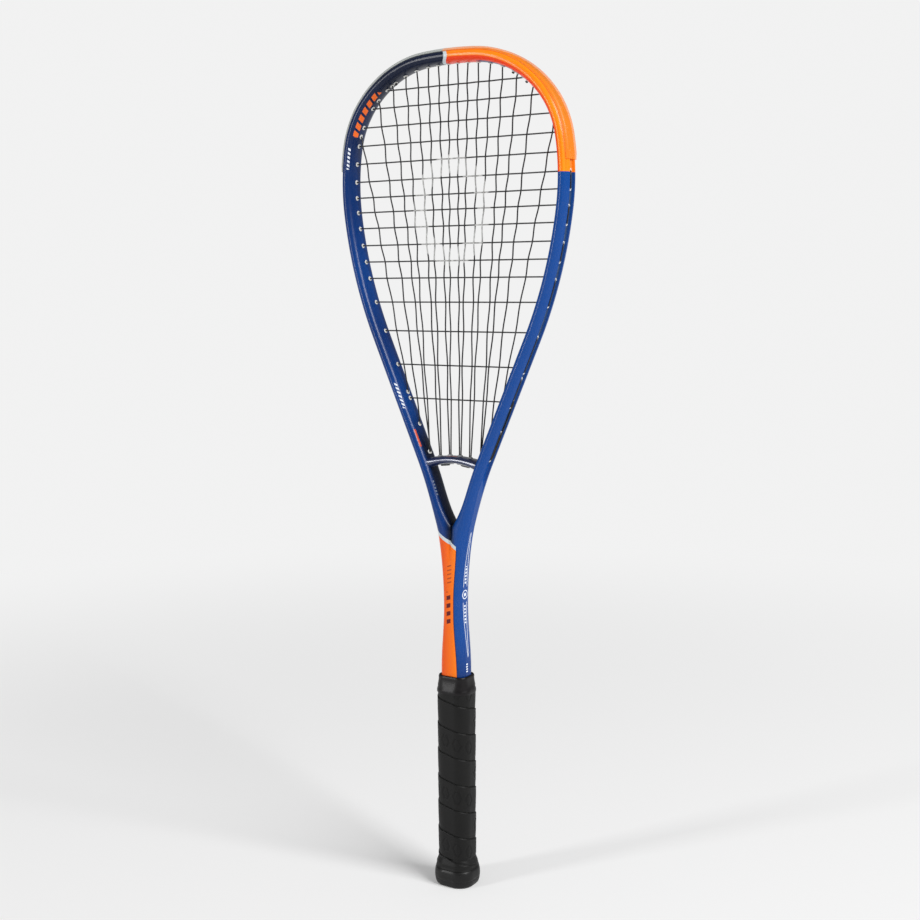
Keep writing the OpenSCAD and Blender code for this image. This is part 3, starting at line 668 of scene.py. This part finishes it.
# ---- Grommet strips: a band in the groove, and a flared barrel through each hole ----
def barrel(s, spread=0.0):
    """The two ends of a barrel that show: a cup in the groove and a collar inside the hoop."""
    p = outline_at(s)
    axis = off(p, 1) - off(p, 0)
    side = axis.cross(Vector((0, 1, 0))).normalized()
    profile = [(-GROOVE + STRIP_T + 0.05, 0.75), (-GROOVE + STRIP_T + 0.22, 1.0),
               (-GROOVE + STRIP_T + 0.22, 1.35), (-GROOVE + STRIP_T, 1.6), (-RIM_W + 0.6, 1.6),
               (-RIM_W - 0.12, 1.62), (-RIM_W - 0.2, 1.86), (-RIM_W - 0.5, 1.9),
               (-RIM_W - BARREL_OUT + 0.1, 1.55), (-RIM_W - BARREL_OUT, 1.2),
               (-RIM_W - BARREL_OUT + 0.08, 0.8), (-RIM_W + 1.0, 0.72)]
    rings = []
    for u, r in profile:
        ring = []
        for k in range(16):
            a = 360 * (k + 0.5) / 16
            shift = spread * (1 if sin(a) > 0 else -1)
            ring.append(off(p, u) + side * (r * cos(a)) + Vector((0, r * sin(a) + shift, 0)))
        rings.append(ring)
    return grid_mesh("barrel", rings, path_closed=True, attributes={"cup": [1.0] * 16 * len(rings)})


def band(section, s_from, s_to, step=3.0):
    count = max(2, int(abs(s_to - s_from) / step))
    rings = [[off(outline_at(s_from + (s_to - s_from) * k / count), u, v) for u, v in section]
             for k in range(count + 1)]
    return grid_mesh("band", rings, attributes={"cup": [0.0] * len(section) * len(rings)})


def strip_section():
    half, top, low = FLOOR_HALF - 0.25, -GROOVE + STRIP_T, -GROOVE + 0.05
    return [(low, -half), (top - 0.25, -half), (top, -half + 0.3), (top, 0), (top, half - 0.3),
            (top - 0.25, half), (low, half), (low, 0)]


def strip_piece(name, s_from, s_to, replaced):
    low, high = min(s_from, s_to), max(s_from, s_to)
    parts = [band(strip_section(), s_from, s_to)]
    parts += [barrel(s) for s in SINGLE_HOLES if low <= s < high]
    parts += [barrel(s, PAIR_Y) for s in CORNER_HOLES if low <= s < high]
    piece = link(name, join(name, parts))
    crease(piece.data, 40)
    place(piece, CLEAR, "clear_nylon", replaced)


strip_piece("grommets_head", -SPLIT_S, SPLIT_S, "grommet_strip_head")
strip_piece("grommets_left", -STRIP_END_S, -SPLIT_S - 0.3, "grommet_strip_left")
strip_piece("grommets_right", SPLIT_S + 0.3, STRIP_END_S, "grommet_strip_right")


def guard_piece():
    w = BUMPER_W / 2
    inner = [(0.03, 0.0), (0.05, 3.8), (-0.25, 5.0), (-0.62, 6.1), (-1.05, 6.9), (-1.5, w - 0.35)]
    outer = [(-1.35, w - 0.05), (-0.85, w), (-0.2, w - 0.35), (0.45, w * 0.88), (0.85, w * 0.77),
             (1.1, w * 0.66), (1.24, w * 0.5), (BUMPER_T - 0.01, w * 0.3), (BUMPER_T - 0.01, w * 0.12)]
    half = inner + outer
    section = half + [(u, -v) for u, v in reversed(half[1:])]
    count = 150
    rings = []
    for k in range(count + 1):
        s = SPLIT_S * (2 * k / count - 1)
        # The last few millimetres thin towards the frame
        thin = 0.35 + 0.65 * ease((SPLIT_S - abs(s)) / 5)
        rings.append([off(outline_at(s), u if i < len(inner) or i > len(section) - len(inner)
                          else -0.4 + (u + 0.4) * thin, v) for i, (u, v) in enumerate(section)])
    piece = link("bumper", grid_mesh("bumper", rings))
    crease(piece.data, 50)
    place(piece, GUARD, "clear_nylon", "bumper_guard")


guard_piece()


# ---- The throat bridge and its grommet plates ----
def arch_z(x):
    return BRIDGE_Z - BRIDGE_R + math.sqrt(BRIDGE_R ** 2 - x * x)


BRIDGE_LIP_Z = BRIDGE_T / 2 + 1


def bridge_material():
    n = Nodes("navy_carbon")
    x, y, z = n.position()
    dash = n.both(n.band(x, -6.5, 3.5, 0.3), n.band(y, -3.6, -2.5, 0.15), n.step(z, 361.6, 0.3))
    tone = n.noise(30.0, 3.0)
    base = n.mix(n.ramp(tone, 0.3, 0.7), NAVY, srgb(20, 40, 92))
    flake = n.ramp(n.noise(5200.0, 2.0), 0.62, 0.8)
    base = n.mix(n.math("MULTIPLY", flake, 0.2), base, WHITE)
    return n.finish(
        Base_Color=n.mix(dash, base, srgb(198, 84, 48)), Metallic=0.2,
        Roughness=n.ramp(tone, 0.3, 0.7, 0.24, 0.34), Coat_Weight=1.0, Coat_Roughness=0.07,
        Normal=n.bump(n.noise(420.0, 1.0), 0.04, 0.0002))


def bridge_piece():
    rings = []
    reach, count = 25.6, 60
    for k in range(count + 1):
        x = -reach + 2 * reach * k / count
        blend = (abs(x) / reach) ** 6
        t = BRIDGE_T / 2 + (x / BRIDGE_REACH) ** 2 * 1.2 + 1.2 * blend
        d = BRIDGE_D / 2 + 0.8 * blend
        slope = math.asin(x / BRIDGE_R)
        ring = []
        for a in range(0, 360, 10):
            up = t * bulge(sin(a), 2.3)
            ring.append((x + up * math.sin(slope), -d * bulge(cos(a), 2.3), arch_z(x) + up * math.cos(slope)))
        rings.append(ring)
    place(link("bridge", grid_mesh("bridge", rings)), bridge_material(), "navy_carbon", "throat_bridge")


bridge_piece()


def plate_piece(name, side, replaced):
    """A thin grey plate under the bridge, with a lipped hole over each string pair."""
    under = BRIDGE_T / 2 + 0.05
    rings = []
    count = 40
    for k in range(count + 1):
        x = 1.6 + 16.0 * k / count
        tip = max(0.25, min(1.0, math.sqrt(max(0.0, 1 - ((k / count - 0.5) * 2) ** 6))))
        half_y = 1.9 * tip
        top, low = arch_z(x) - under, arch_z(x) - under - STRIP_T
        ring = [(half_y - 0.2, top), (half_y, top - 0.25), (half_y, low + 0.2), (half_y - 0.25, low)]
        ring += [(-y, z) for y, z in reversed(ring)]
        rings.append([(side * x, y, z) for y, z in ring])
    parts = [grid_mesh("plate", rings)]
    for x in BRIDGE_HOLE_X:
        profile = [(BRIDGE_LIP_Z - 0.1, 0.8), (BRIDGE_LIP_Z - 0.02, 1.15), (BRIDGE_LIP_Z - 0.2, 1.5),
                   (BRIDGE_T / 2 + 0.15, 1.62), (BRIDGE_T / 2 - 0.3, 1.3), (BRIDGE_T / 2 - 0.3, 0.75)]
        rings = []
        for dz, r in profile:
            rings.append([(side * x + r * cos(a) + PAIR_GAP * (1 if cos(a) > 0 else -1), r * sin(a),
                           arch_z(x) + dz) for a in [22.5 * k + 11.25 for k in range(16)]])
        parts.append(grid_mesh("lip", rings, path_closed=True))
    piece = link(name, join(name, parts))
    crease(piece.data, 40)
    place(piece, PLATE, "clear_nylon", replaced)


plate_piece("bridge_plate_left", -1, "bridge_grommet_left")
plate_piece("bridge_plate_right", 1, "bridge_grommet_right")


# ---- Strings: woven, and led round the outside of the frame from hole to hole ----
MAIN_WAVE, CROSS_WAVE = 0.8, 0.4
WEAVE_STEPS = 4


def inner_z_at(x):
    return off(outline_at(s_at_x(x)), -LIP_IN).z


def leg_in(z):
    return off(outline_at(s_at_z(z)), -LIP_IN)


def main_foot(k):
    if k < 4:
        x = BRIDGE_HOLE_X[k // 2] + (PAIR_GAP if k % 2 else -PAIR_GAP)
        return Vector((x, 0, arch_z(x) + BRIDGE_LIP_Z))
    if k < 6:
        return leg_in(CORNER_Z) + Vector((0, PAIR_Y if k == 5 else -PAIR_Y, 0))
    return leg_in(SECOND_Z if k == 6 else OUTER_Z)


def flip(p, side):
    return Vector((side * p[0], p[1], p[2]))


def head_of(i):
    k = pair_of(i)
    return flip((MAIN_TOP_X[k], 0, inner_z_at(MAIN_TOP_X[k])), side_of(i))


def foot_of(i):
    return flip(main_foot(pair_of(i)), side_of(i))


def cross_end(j):
    return leg_in(CROSS_Z[j])


MAINS = [(foot_of(i), head_of(i)) for i in range(2 * HALF)]
CROSS_ENDS = [cross_end(j).x for j in range(CROSSES)]


def main_x(i, z):
    a, b = MAINS[i]
    return a.x + (b.x - a.x) * (z - a.z) / (b.z - a.z)


def in_front(i, j):
    """True where main i passes in front of cross j."""
    return (i + j) % 2 == 1


def woven(stops):
    """Points along a strand through stops (along, y), with a smooth wave between them."""
    points = []
    for (t0, y0), (t1, y1) in zip(stops, stops[1:]):
        for k in range(WEAVE_STEPS):
            f = k / WEAVE_STEPS
            points.append((t0 + (t1 - t0) * f, y0 + (y1 - y0) * ease(f)))
    return points + [stops[-1]]


def main_up(i):
    a, b = MAINS[i]
    stops = [(a.z, a.y)]
    for j in range(CROSSES - 1, -1, -1):
        z = CROSS_Z[j]
        if a.z + 2 < z < b.z - 2 and abs(main_x(i, z)) < CROSS_ENDS[j] - 1:
            stops.append((z, MAIN_WAVE * (-1 if in_front(i, j) else 1)))
    stops.append((b.z, b.y))
    return [Vector((main_x(i, z), y, z)) for z, y in woven(stops)]


def cross_right(j):
    x_end, z = CROSS_ENDS[j], CROSS_Z[j]
    stops = [(-x_end, 0.0)]
    for i in range(2 * HALF):
        a, b = MAINS[i]
        x = main_x(i, z)
        if a.z + 2 < z < b.z - 2 and abs(x) < x_end - 1:
            stops.append((x, CROSS_WAVE * (1 if in_front(i, j) else -1)))
    stops.append((x_end, 0.0))
    return [Vector((x, y, z)) for x, y in woven(stops)]


def run(a, b, y, ya=0.0, yb=0.0):
    """A run in the groove from the hole at a to the hole at b."""
    count = max(3, math.ceil(abs(b - a) / 4))
    bend = math.copysign(2.2, b - a)
    points = [off(outline_at(a), HOLE_U, ya), off(outline_at(a + bend * 0.25), RUN_U - 0.25, ya + (y - ya) * 0.3)]
    points += [off(outline_at(a + bend + (b - a - 2 * bend) * k / count), RUN_U, y) for k in range(count + 1)]
    points += [off(outline_at(b - bend * 0.25), RUN_U - 0.25, yb + (y - yb) * 0.3), off(outline_at(b), HOLE_U, yb)]
    return points


def tail(s_from, s_to, y):
    """The end of a string: along the groove past its last hole, then in to its knot."""
    return run(s_from, s_to, y)[:-1] + [off(outline_at(s_to), HOLE_U), off(outline_at(s_to), -LIP_IN - 0.8)]


def under_bridge(a, b):
    pa, pb = foot_of(a), foot_of(b)
    low = -BRIDGE_T / 2 - STRIP_T - STRING_R - 0.15
    y = PAIR_Y if a % 2 == 0 else -PAIR_Y
    drop = BRIDGE_LIP_Z + BRIDGE_T / 2 - 1
    points = [Vector((pa.x, 0, pa.z - drop))]
    for f in (0.15, 0.32, 0.5, 0.68, 0.85):
        x = pa.x + f * (pb.x - pa.x)
        points.append(Vector((x, y, arch_z(x) + low)))
    return points + [Vector((pb.x, 0, pb.z - drop))]


def back(points):
    return points[::-1]


def main_left():
    return (back(tail(hole_top(0), TIE_S, TIE_LANE)) + back(main_up(0))
            + run(hole_leg(0), hole_leg(2), LANE, 0, PAIR_Y) + main_up(2)
            + run(hole_top(2), hole_top(1), LANE) + back(main_up(1))
            + run(hole_leg(1), hole_leg(3), -LANE, 0, -PAIR_Y) + main_up(3)
            + run(hole_top(3), hole_top(4), LANE) + back(main_up(4))
            + under_bridge(4, 6) + main_up(6) + run(hole_top(6), hole_top(5), LANE)
            + back(main_up(5)) + under_bridge(5, 7) + main_up(7))


def main_right():
    """The mirror image of the left half, with its own weave."""
    return (back(main_up(8)) + under_bridge(8, 10) + main_up(10) + run(hole_top(10), hole_top(9), LANE)
            + back(main_up(9)) + under_bridge(9, 11) + main_up(11)
            + run(hole_top(11), hole_top(12), LANE) + back(main_up(12))
            + run(hole_leg(12), hole_leg(14), -LANE, -PAIR_Y, 0) + main_up(14)
            + run(hole_top(14), hole_top(13), LANE) + back(main_up(13))
            + run(hole_leg(13), hole_leg(15), LANE, PAIR_Y, 0) + main_up(15)
            + tail(hole_top(15), -TIE_S, TIE_LANE))


def cross_path():
    points = back(tail(hole_cross(CROSSES - 1, 1), CROSS_FIRST_TIE, -LANE))
    for j in range(CROSSES - 1, -1, -1):
        side = -1 if j % 2 else 1
        points += cross_right(j) if side > 0 else back(cross_right(j))
        if j:
            points += run(hole_cross(j, side), hole_cross(j - 1, side), -LANE)
    return points + tail(hole_cross(0, 1), CROSS_LAST_TIE, -LANE)


def tube(path, radius, sides):
    """A round tube along a path, turned as little as possible from ring to ring."""
    clean = [path[0]]
    for p in path[1:]:
        if (p - clean[-1]).length > 0.15:
            clean.append(p)
    rings, along, around = [], [], []
    side, distance = None, 0.0
    for k, p in enumerate(clean):
        before, after = clean[max(0, k - 1)], clean[min(len(clean) - 1, k + 1)]
        axis = (after - before).normalized()
        side = side or axis.orthogonal()
        side = (side - axis * side.dot(axis)).normalized()
        other = axis.cross(side)
        rings.append([p + radius * (cos(360 * i / sides) * side + sin(360 * i / sides) * other)
                      for i in range(sides)])
        distance += (p - before).length
        along += [distance] * sides
        around += [i / sides for i in range(sides)]
    return grid_mesh("tube", rings, attributes={"along_mm": along, "around": around})


def knot(s):
    """A small knot: one closed trefoil of string."""
    p = outline_at(s)
    centre = off(p, -LIP_IN - 0.75)
    axis = (off(p, -1) - off(p, 0))
    side = Vector((0, 1, 0))
    third = axis.cross(side)
    points = []
    for k in range(37):
        a = 2 * math.pi * k / 36
        ring = 0.6 + 0.22 * math.cos(3 * a)
        points.append(centre + side * (ring * math.cos(2 * a)) + third * (ring * math.sin(2 * a))
                      + axis * (0.3 * math.sin(3 * a)))
    return [tube(points, 0.42, 8)]


STRING_SIDES = 10
mains_mesh = join("mains", [tube(main_left() + run(hole_top(7), hole_top(8), LANE) + main_right(),
                                 STRING_R, STRING_SIDES), *knot(TIE_S), *knot(-TIE_S)])
place(link("mains", mains_mesh), STRING, "black_string", "main_string")
crosses_mesh = join("crosses", [tube(cross_path(), STRING_R, STRING_SIDES),
                                *knot(CROSS_FIRST_TIE), *knot(CROSS_LAST_TIE)])
place(link("crosses", crosses_mesh), STRING, "black_string", "cross_string")


# ---- The handle ----
def block_point(w, d, r, turn):
    """A point on a rounded rectangle, at a share of its perimeter, with its outward normal."""
    r = min(r, w / 2 - 0.01, d / 2 - 0.01)
    straight_x, straight_y, quarter = w - 2 * r, d - 2 * r, math.pi * r / 2
    length = 2 * (straight_x + straight_y) + 4 * quarter
    t = (turn % 1.0) * length
    # From the middle of the +X side, anticlockwise
    legs = [("y", straight_y / 2), ("c", quarter), ("x", straight_x), ("c", quarter), ("y", straight_y),
            ("c", quarter), ("x", straight_x), ("c", quarter), ("y", straight_y / 2)]
    x, y, heading = w / 2, 0.0, 90.0
    for kind, size in legs:
        step = min(t, size)
        if kind == "c":
            a = math.degrees(step / r)
            x += r * (sin(heading + a) - sin(heading))
            y -= r * (cos(heading + a) - cos(heading))
            heading += a
        else:
            x += step * cos(heading)
            y += step * sin(heading)
        t -= step
        if t <= 0:
            break
    return x, y, cos(heading - 90), sin(heading - 90)


WRAP_PITCH, WRAP_START, WRAP_LAP, GRIP_LOW, FLARE_HIGH = 22.6, 0.21, 0.55, 15.1, 27
COLLAR_LOW, COLLAR_HIGH = GRIP_TOP - 6, GRIP_TOP + 9
# A ring stands out round the flare, under a shallow crease: height up, size and half-width
RING, RING_CREASE = (19.2, 0.65, 2.2), (23.6, 0.35, 0.9)


def flare_by(z):
    return 0.0 if z > FLARE_HIGH else ((FLARE_HIGH - z) / (FLARE_HIGH - GRIP_LOW)) ** 2.4


def hump(z, middle, size, half):
    return size * math.exp(-((z - middle) / half) ** 2)


def wrap_height(z, turn):
    """How far the wrap's skin lies from the grip's outline, and how much painted shade darkens its pressed marks
    and seams there.
    Each turn of the strip tapers to its lower edge and laps over the turn below it."""
    rise = z / WRAP_PITCH + turn + WRAP_START
    f = rise - math.floor(rise)
    height = -WRAP_LAP * (1 - f) ** 2.2
    seam = math.exp(-((f - 0.012) / 0.012) ** 2) + math.exp(-((f - 1.0) / 0.008) ** 2)
    height -= 0.42 * seam
    # A stitched-looking pressed line beside the seam
    height -= 0.1 * math.exp(-((f - 0.13) / 0.012) ** 2) + 0.1 * math.exp(-((f - 0.9) / 0.012) ** 2)
    # Pressed lozenges in a row along every other turn
    emboss = 0.0
    if math.floor(rise) % 2 == 0:
        along = (turn * 9) % 1.0
        a, b = abs(along - 0.5) / 0.42, abs(f - 0.52) / 0.24
        edge = a + b * 0.55
        if a < 1 and b < 1:
            emboss = ease((1.02 - edge) / 0.12) * (1 - 0.85 * ease((0.62 - edge) / 0.1))
    return height - 0.3 * emboss, 0.85 * emboss + 0.7 * min(1.0, seam)


def wrap_piece():
    around, rows = 160, 460
    rings, relief = [], []
    top = COLLAR_LOW + 1.0
    for j in range(rows + 1):
        z = GRIP_LOW + (top - GRIP_LOW) * j / rows
        f = flare_by(z)
        w = GRIP_W + (BUTT_W * 0.95 - GRIP_W) * f
        d = GRIP_D + (BUTT_D * 0.95 - GRIP_D) * f
        near_end = ease((z - GRIP_LOW - 0.5) / 5) * ease((top - z) / 2)
        ring = []
        for k in range(around):
            turn = k / around
            x, y, nx, ny = block_point(w, d, GRIP_R + 1.6 * f, turn)
            height, mark = wrap_height(z, turn)
            height = height * near_end + hump(z, *RING) - hump(z, *RING_CREASE)
            ring.append((x + nx * height, y + ny * height, z))
            # The painted shade of the pressed marks and seams, faded towards the wrap's ends
            relief.append(mark * near_end)
        rings.append(ring)
    inner = []
    for z in (top, GRIP_LOW):
        inner.append([tuple([*block_point(GRIP_W - 2 * GRIP_T + 0.1, GRIP_D - 2 * GRIP_T + 0.1,
                                          GRIP_R - GRIP_T, k / around)[:2], z]) for k in range(around)])
        relief += [0.0] * around
    mesh = grid_mesh("wrap", rings + inner, path_closed=True, attributes={"relief": relief})
    piece = link("wrap", mesh)
    crease(mesh, 65)
    place(piece, WRAP, "grip_wrap", "base_grip")


wrap_piece()


def lathe_block(name, profile, material, slot, replaced, around=96, closed=True):
    """Rounded-rectangle rings (w, d, r, z) joined into a sleeve, or a capped block."""
    rings = [[(*block_point(w, d, r, k / around)[:2], z) for k in range(around)] for w, d, r, z in profile]
    piece = link(name, grid_mesh(name, rings, path_closed=closed))
    crease(piece.data, 55)
    place(piece, material, slot, replaced)


def collar_profile():
    low, high = COLLAR_LOW, COLLAR_HIGH
    outer = [(0.0, 0.1, low + 0.1), (0.35, 0.4, low + 0.35), (0.5, 0.5, low + 1.2), (0.45, 0.45, low + 2.2),
             (0.2, 0.2, low + 3.2)]
    rows = [(GRIP_W + w, GRIP_D + d, GRIP_R, z) for w, d, z in outer]
    neck = [(5.1, 8.4, GRIP_TOP + 0.2), (4.2, 8.0, GRIP_TOP + 2.5), (3.5, 7.5, GRIP_TOP + 4.5),
            (3.2, 7.3, GRIP_TOP + 6.2), (3.3, 7.3, high - 1.6), (2.9, 7.1, high - 0.7), (2.1, 6.7, high - 0.15),
            (1.4, 6.2, high)]
    rows += [(GRIP_W - 0.6, GRIP_D - 0.6, GRIP_R, low + 4.6)]
    rows += [(HEEL_W + w, HEEL_D + w, r, z) for w, r, z in neck]
    rows += [(HEEL_W + 0.1, HEEL_D + 0.1, 4.6, high - 0.1), (HEEL_W + 0.4, HEEL_D + 0.4, 4.8, GRIP_TOP + 6),
             (HEEL_W + 3.0, HEEL_D + 3.0, 7.0, GRIP_TOP - 1), (GRIP_W - 1.3, GRIP_D - 1.3, GRIP_R - 0.6, low + 0.1)]
    return rows


lathe_block("collar", collar_profile(), COLLAR_RUBBER, "black_rubber", "rubber_collar")


def cap_profile():
    # Share of the butt's full size at each height; the rim's edge carries a small moulded step
    shares = [(0.2, 0.0), (0.6, 0.0), (0.84, 0.02), (0.895, 0.3), (0.925, 0.9), (0.95, 1.9), (0.968, 3.0),
              (0.982, 4.6), (0.99, 5.6), (0.985, 5.75), (0.985, 5.95), (0.995, 6.15), (1.0, 8.0), (0.997, 10.0),
              (0.985, 12.0), (0.965, 13.6), (0.93, 14.7), (0.9, 15.0)]
    return [(BUTT_W * q, BUTT_D * q, 13 * q, z) for q, z in shares]


lathe_block("end_cap", cap_profile(), CAP_RUBBER, "black_rubber", "butt_cap", closed=False)

# CAD nodes that keep their own shape
for node, material in (("pallet_front", FOAM), ("pallet_back", FOAM), ("cap_staple_left", STEEL),
                       ("cap_staple_right", STEEL), ("finishing_tape", TAPE)):
    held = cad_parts[node]
    held.data.materials.clear()
    held.data.materials.append(material)


# ---- Floor, lights and camera ----
# The backdrop's brightness, the room's light on the racket, and the near floor's glow and shade
BACKDROP, ROOM, FLOOR_GLOW, PAPER = 0.885, 0.26, 0.17, 0.74
FADE_FROM, FADE_TO = 300.0, 1500.0


def floor_material():
    """Matt paper near the racket, which fades to the backdrop's own brightness further off."""
    n = Nodes("studio_floor")
    x, y, _ = n.position()
    away = n.math("SQRT", n.math("ADD", n.math("MULTIPLY", x, x), n.math("MULTIPLY", y, y)))
    far = n.add("MapRange", 0, {"clamp": True, "interpolation_type": "SMOOTHSTEP"},
                i0=away, i1=FADE_FROM, i2=FADE_TO, i3=0.0, i4=1.0)
    paper = n.mix(far, (PAPER,) * 3, (0.0,) * 3)
    glow = n.mix(far, (FLOOR_GLOW,) * 3, (BACKDROP,) * 3)
    return n.finish(Base_Color=paper, Roughness=0.95, Specular_IOR_Level=0.0,
                    Emission_Color=glow, Emission_Strength=1.0)


floor_mesh = bpy.data.meshes.new("floor")
FLOOR_HALF_M = 40
floor_mesh.from_pydata([(-FLOOR_HALF_M, -FLOOR_HALF_M, 0), (FLOOR_HALF_M, -FLOOR_HALF_M, 0),
                        (FLOOR_HALF_M, FLOOR_HALF_M, 0), (-FLOOR_HALF_M, FLOOR_HALF_M, 0)], [], [(0, 1, 2, 3)])
floor = link("floor", floor_mesh)
floor_mesh.materials.append(floor_material())

scene = bpy.context.scene
scene.view_settings.view_transform = "Standard"
world = bpy.data.worlds.new("studio")
scene.world = world
world.use_nodes = True
backdrop = world.node_tree.nodes["Background"]
rays = world.node_tree.nodes.new("ShaderNodeLightPath").outputs["Is Camera Ray"]
level = world.node_tree.nodes.new("ShaderNodeMapRange")
level.inputs[3].default_value, level.inputs[4].default_value = ROOM, BACKDROP
world.node_tree.links.new(rays, level.inputs[0])
world.node_tree.links.new(level.outputs[0], backdrop.inputs[1])
backdrop.inputs[0].default_value = (1, 1, 1, 1)


def soft_light(name, place_at, aim, size, watts, size_y=None):
    data = bpy.data.lights.new(name, "AREA")
    data.energy = watts
    data.size = size
    if size_y:
        data.shape = "RECTANGLE"
        data.size_y = size_y
    lamp = bpy.data.objects.new(name, data)
    lamp.location = place_at
    lamp.rotation_euler = (Vector(aim) - Vector(place_at)).to_track_quat("-Z", "Y").to_euler()
    scene.collection.objects.link(lamp)


soft_light("key", (4.2, -0.6, 3.4), (0, 0, 0.2), 2.6, 290)
soft_light("strip", (-1.9, -3.0, 1.2), (0, 0, 0.35), 0.5, 55, 2.4)

# The camera: its place, and how far it is turned, tipped down and rolled
CAMERA_AT = (0.5809, -0.9167, 0.5002)
CAMERA_TURN, CAMERA_TIP, CAMERA_ROLL = 32.16, 7.37, -0.295
LENS_MM = 52.58
forward = Vector((-sin(CAMERA_TURN) * cos(CAMERA_TIP), cos(CAMERA_TURN) * cos(CAMERA_TIP), -sin(CAMERA_TIP)))
camera_data = bpy.data.cameras.new("camera")
camera_data.lens = LENS_MM
camera_data.sensor_width = 36
camera_data.clip_start = 0.01
camera = bpy.data.objects.new("camera", camera_data)
camera.location = CAMERA_AT
camera.rotation_mode = "QUATERNION"
camera.rotation_quaternion = (Quaternion(forward, math.radians(-CAMERA_ROLL))
                              @ forward.to_track_quat("-Z", "Y"))
scene.collection.objects.link(camera)
scene.camera = camera
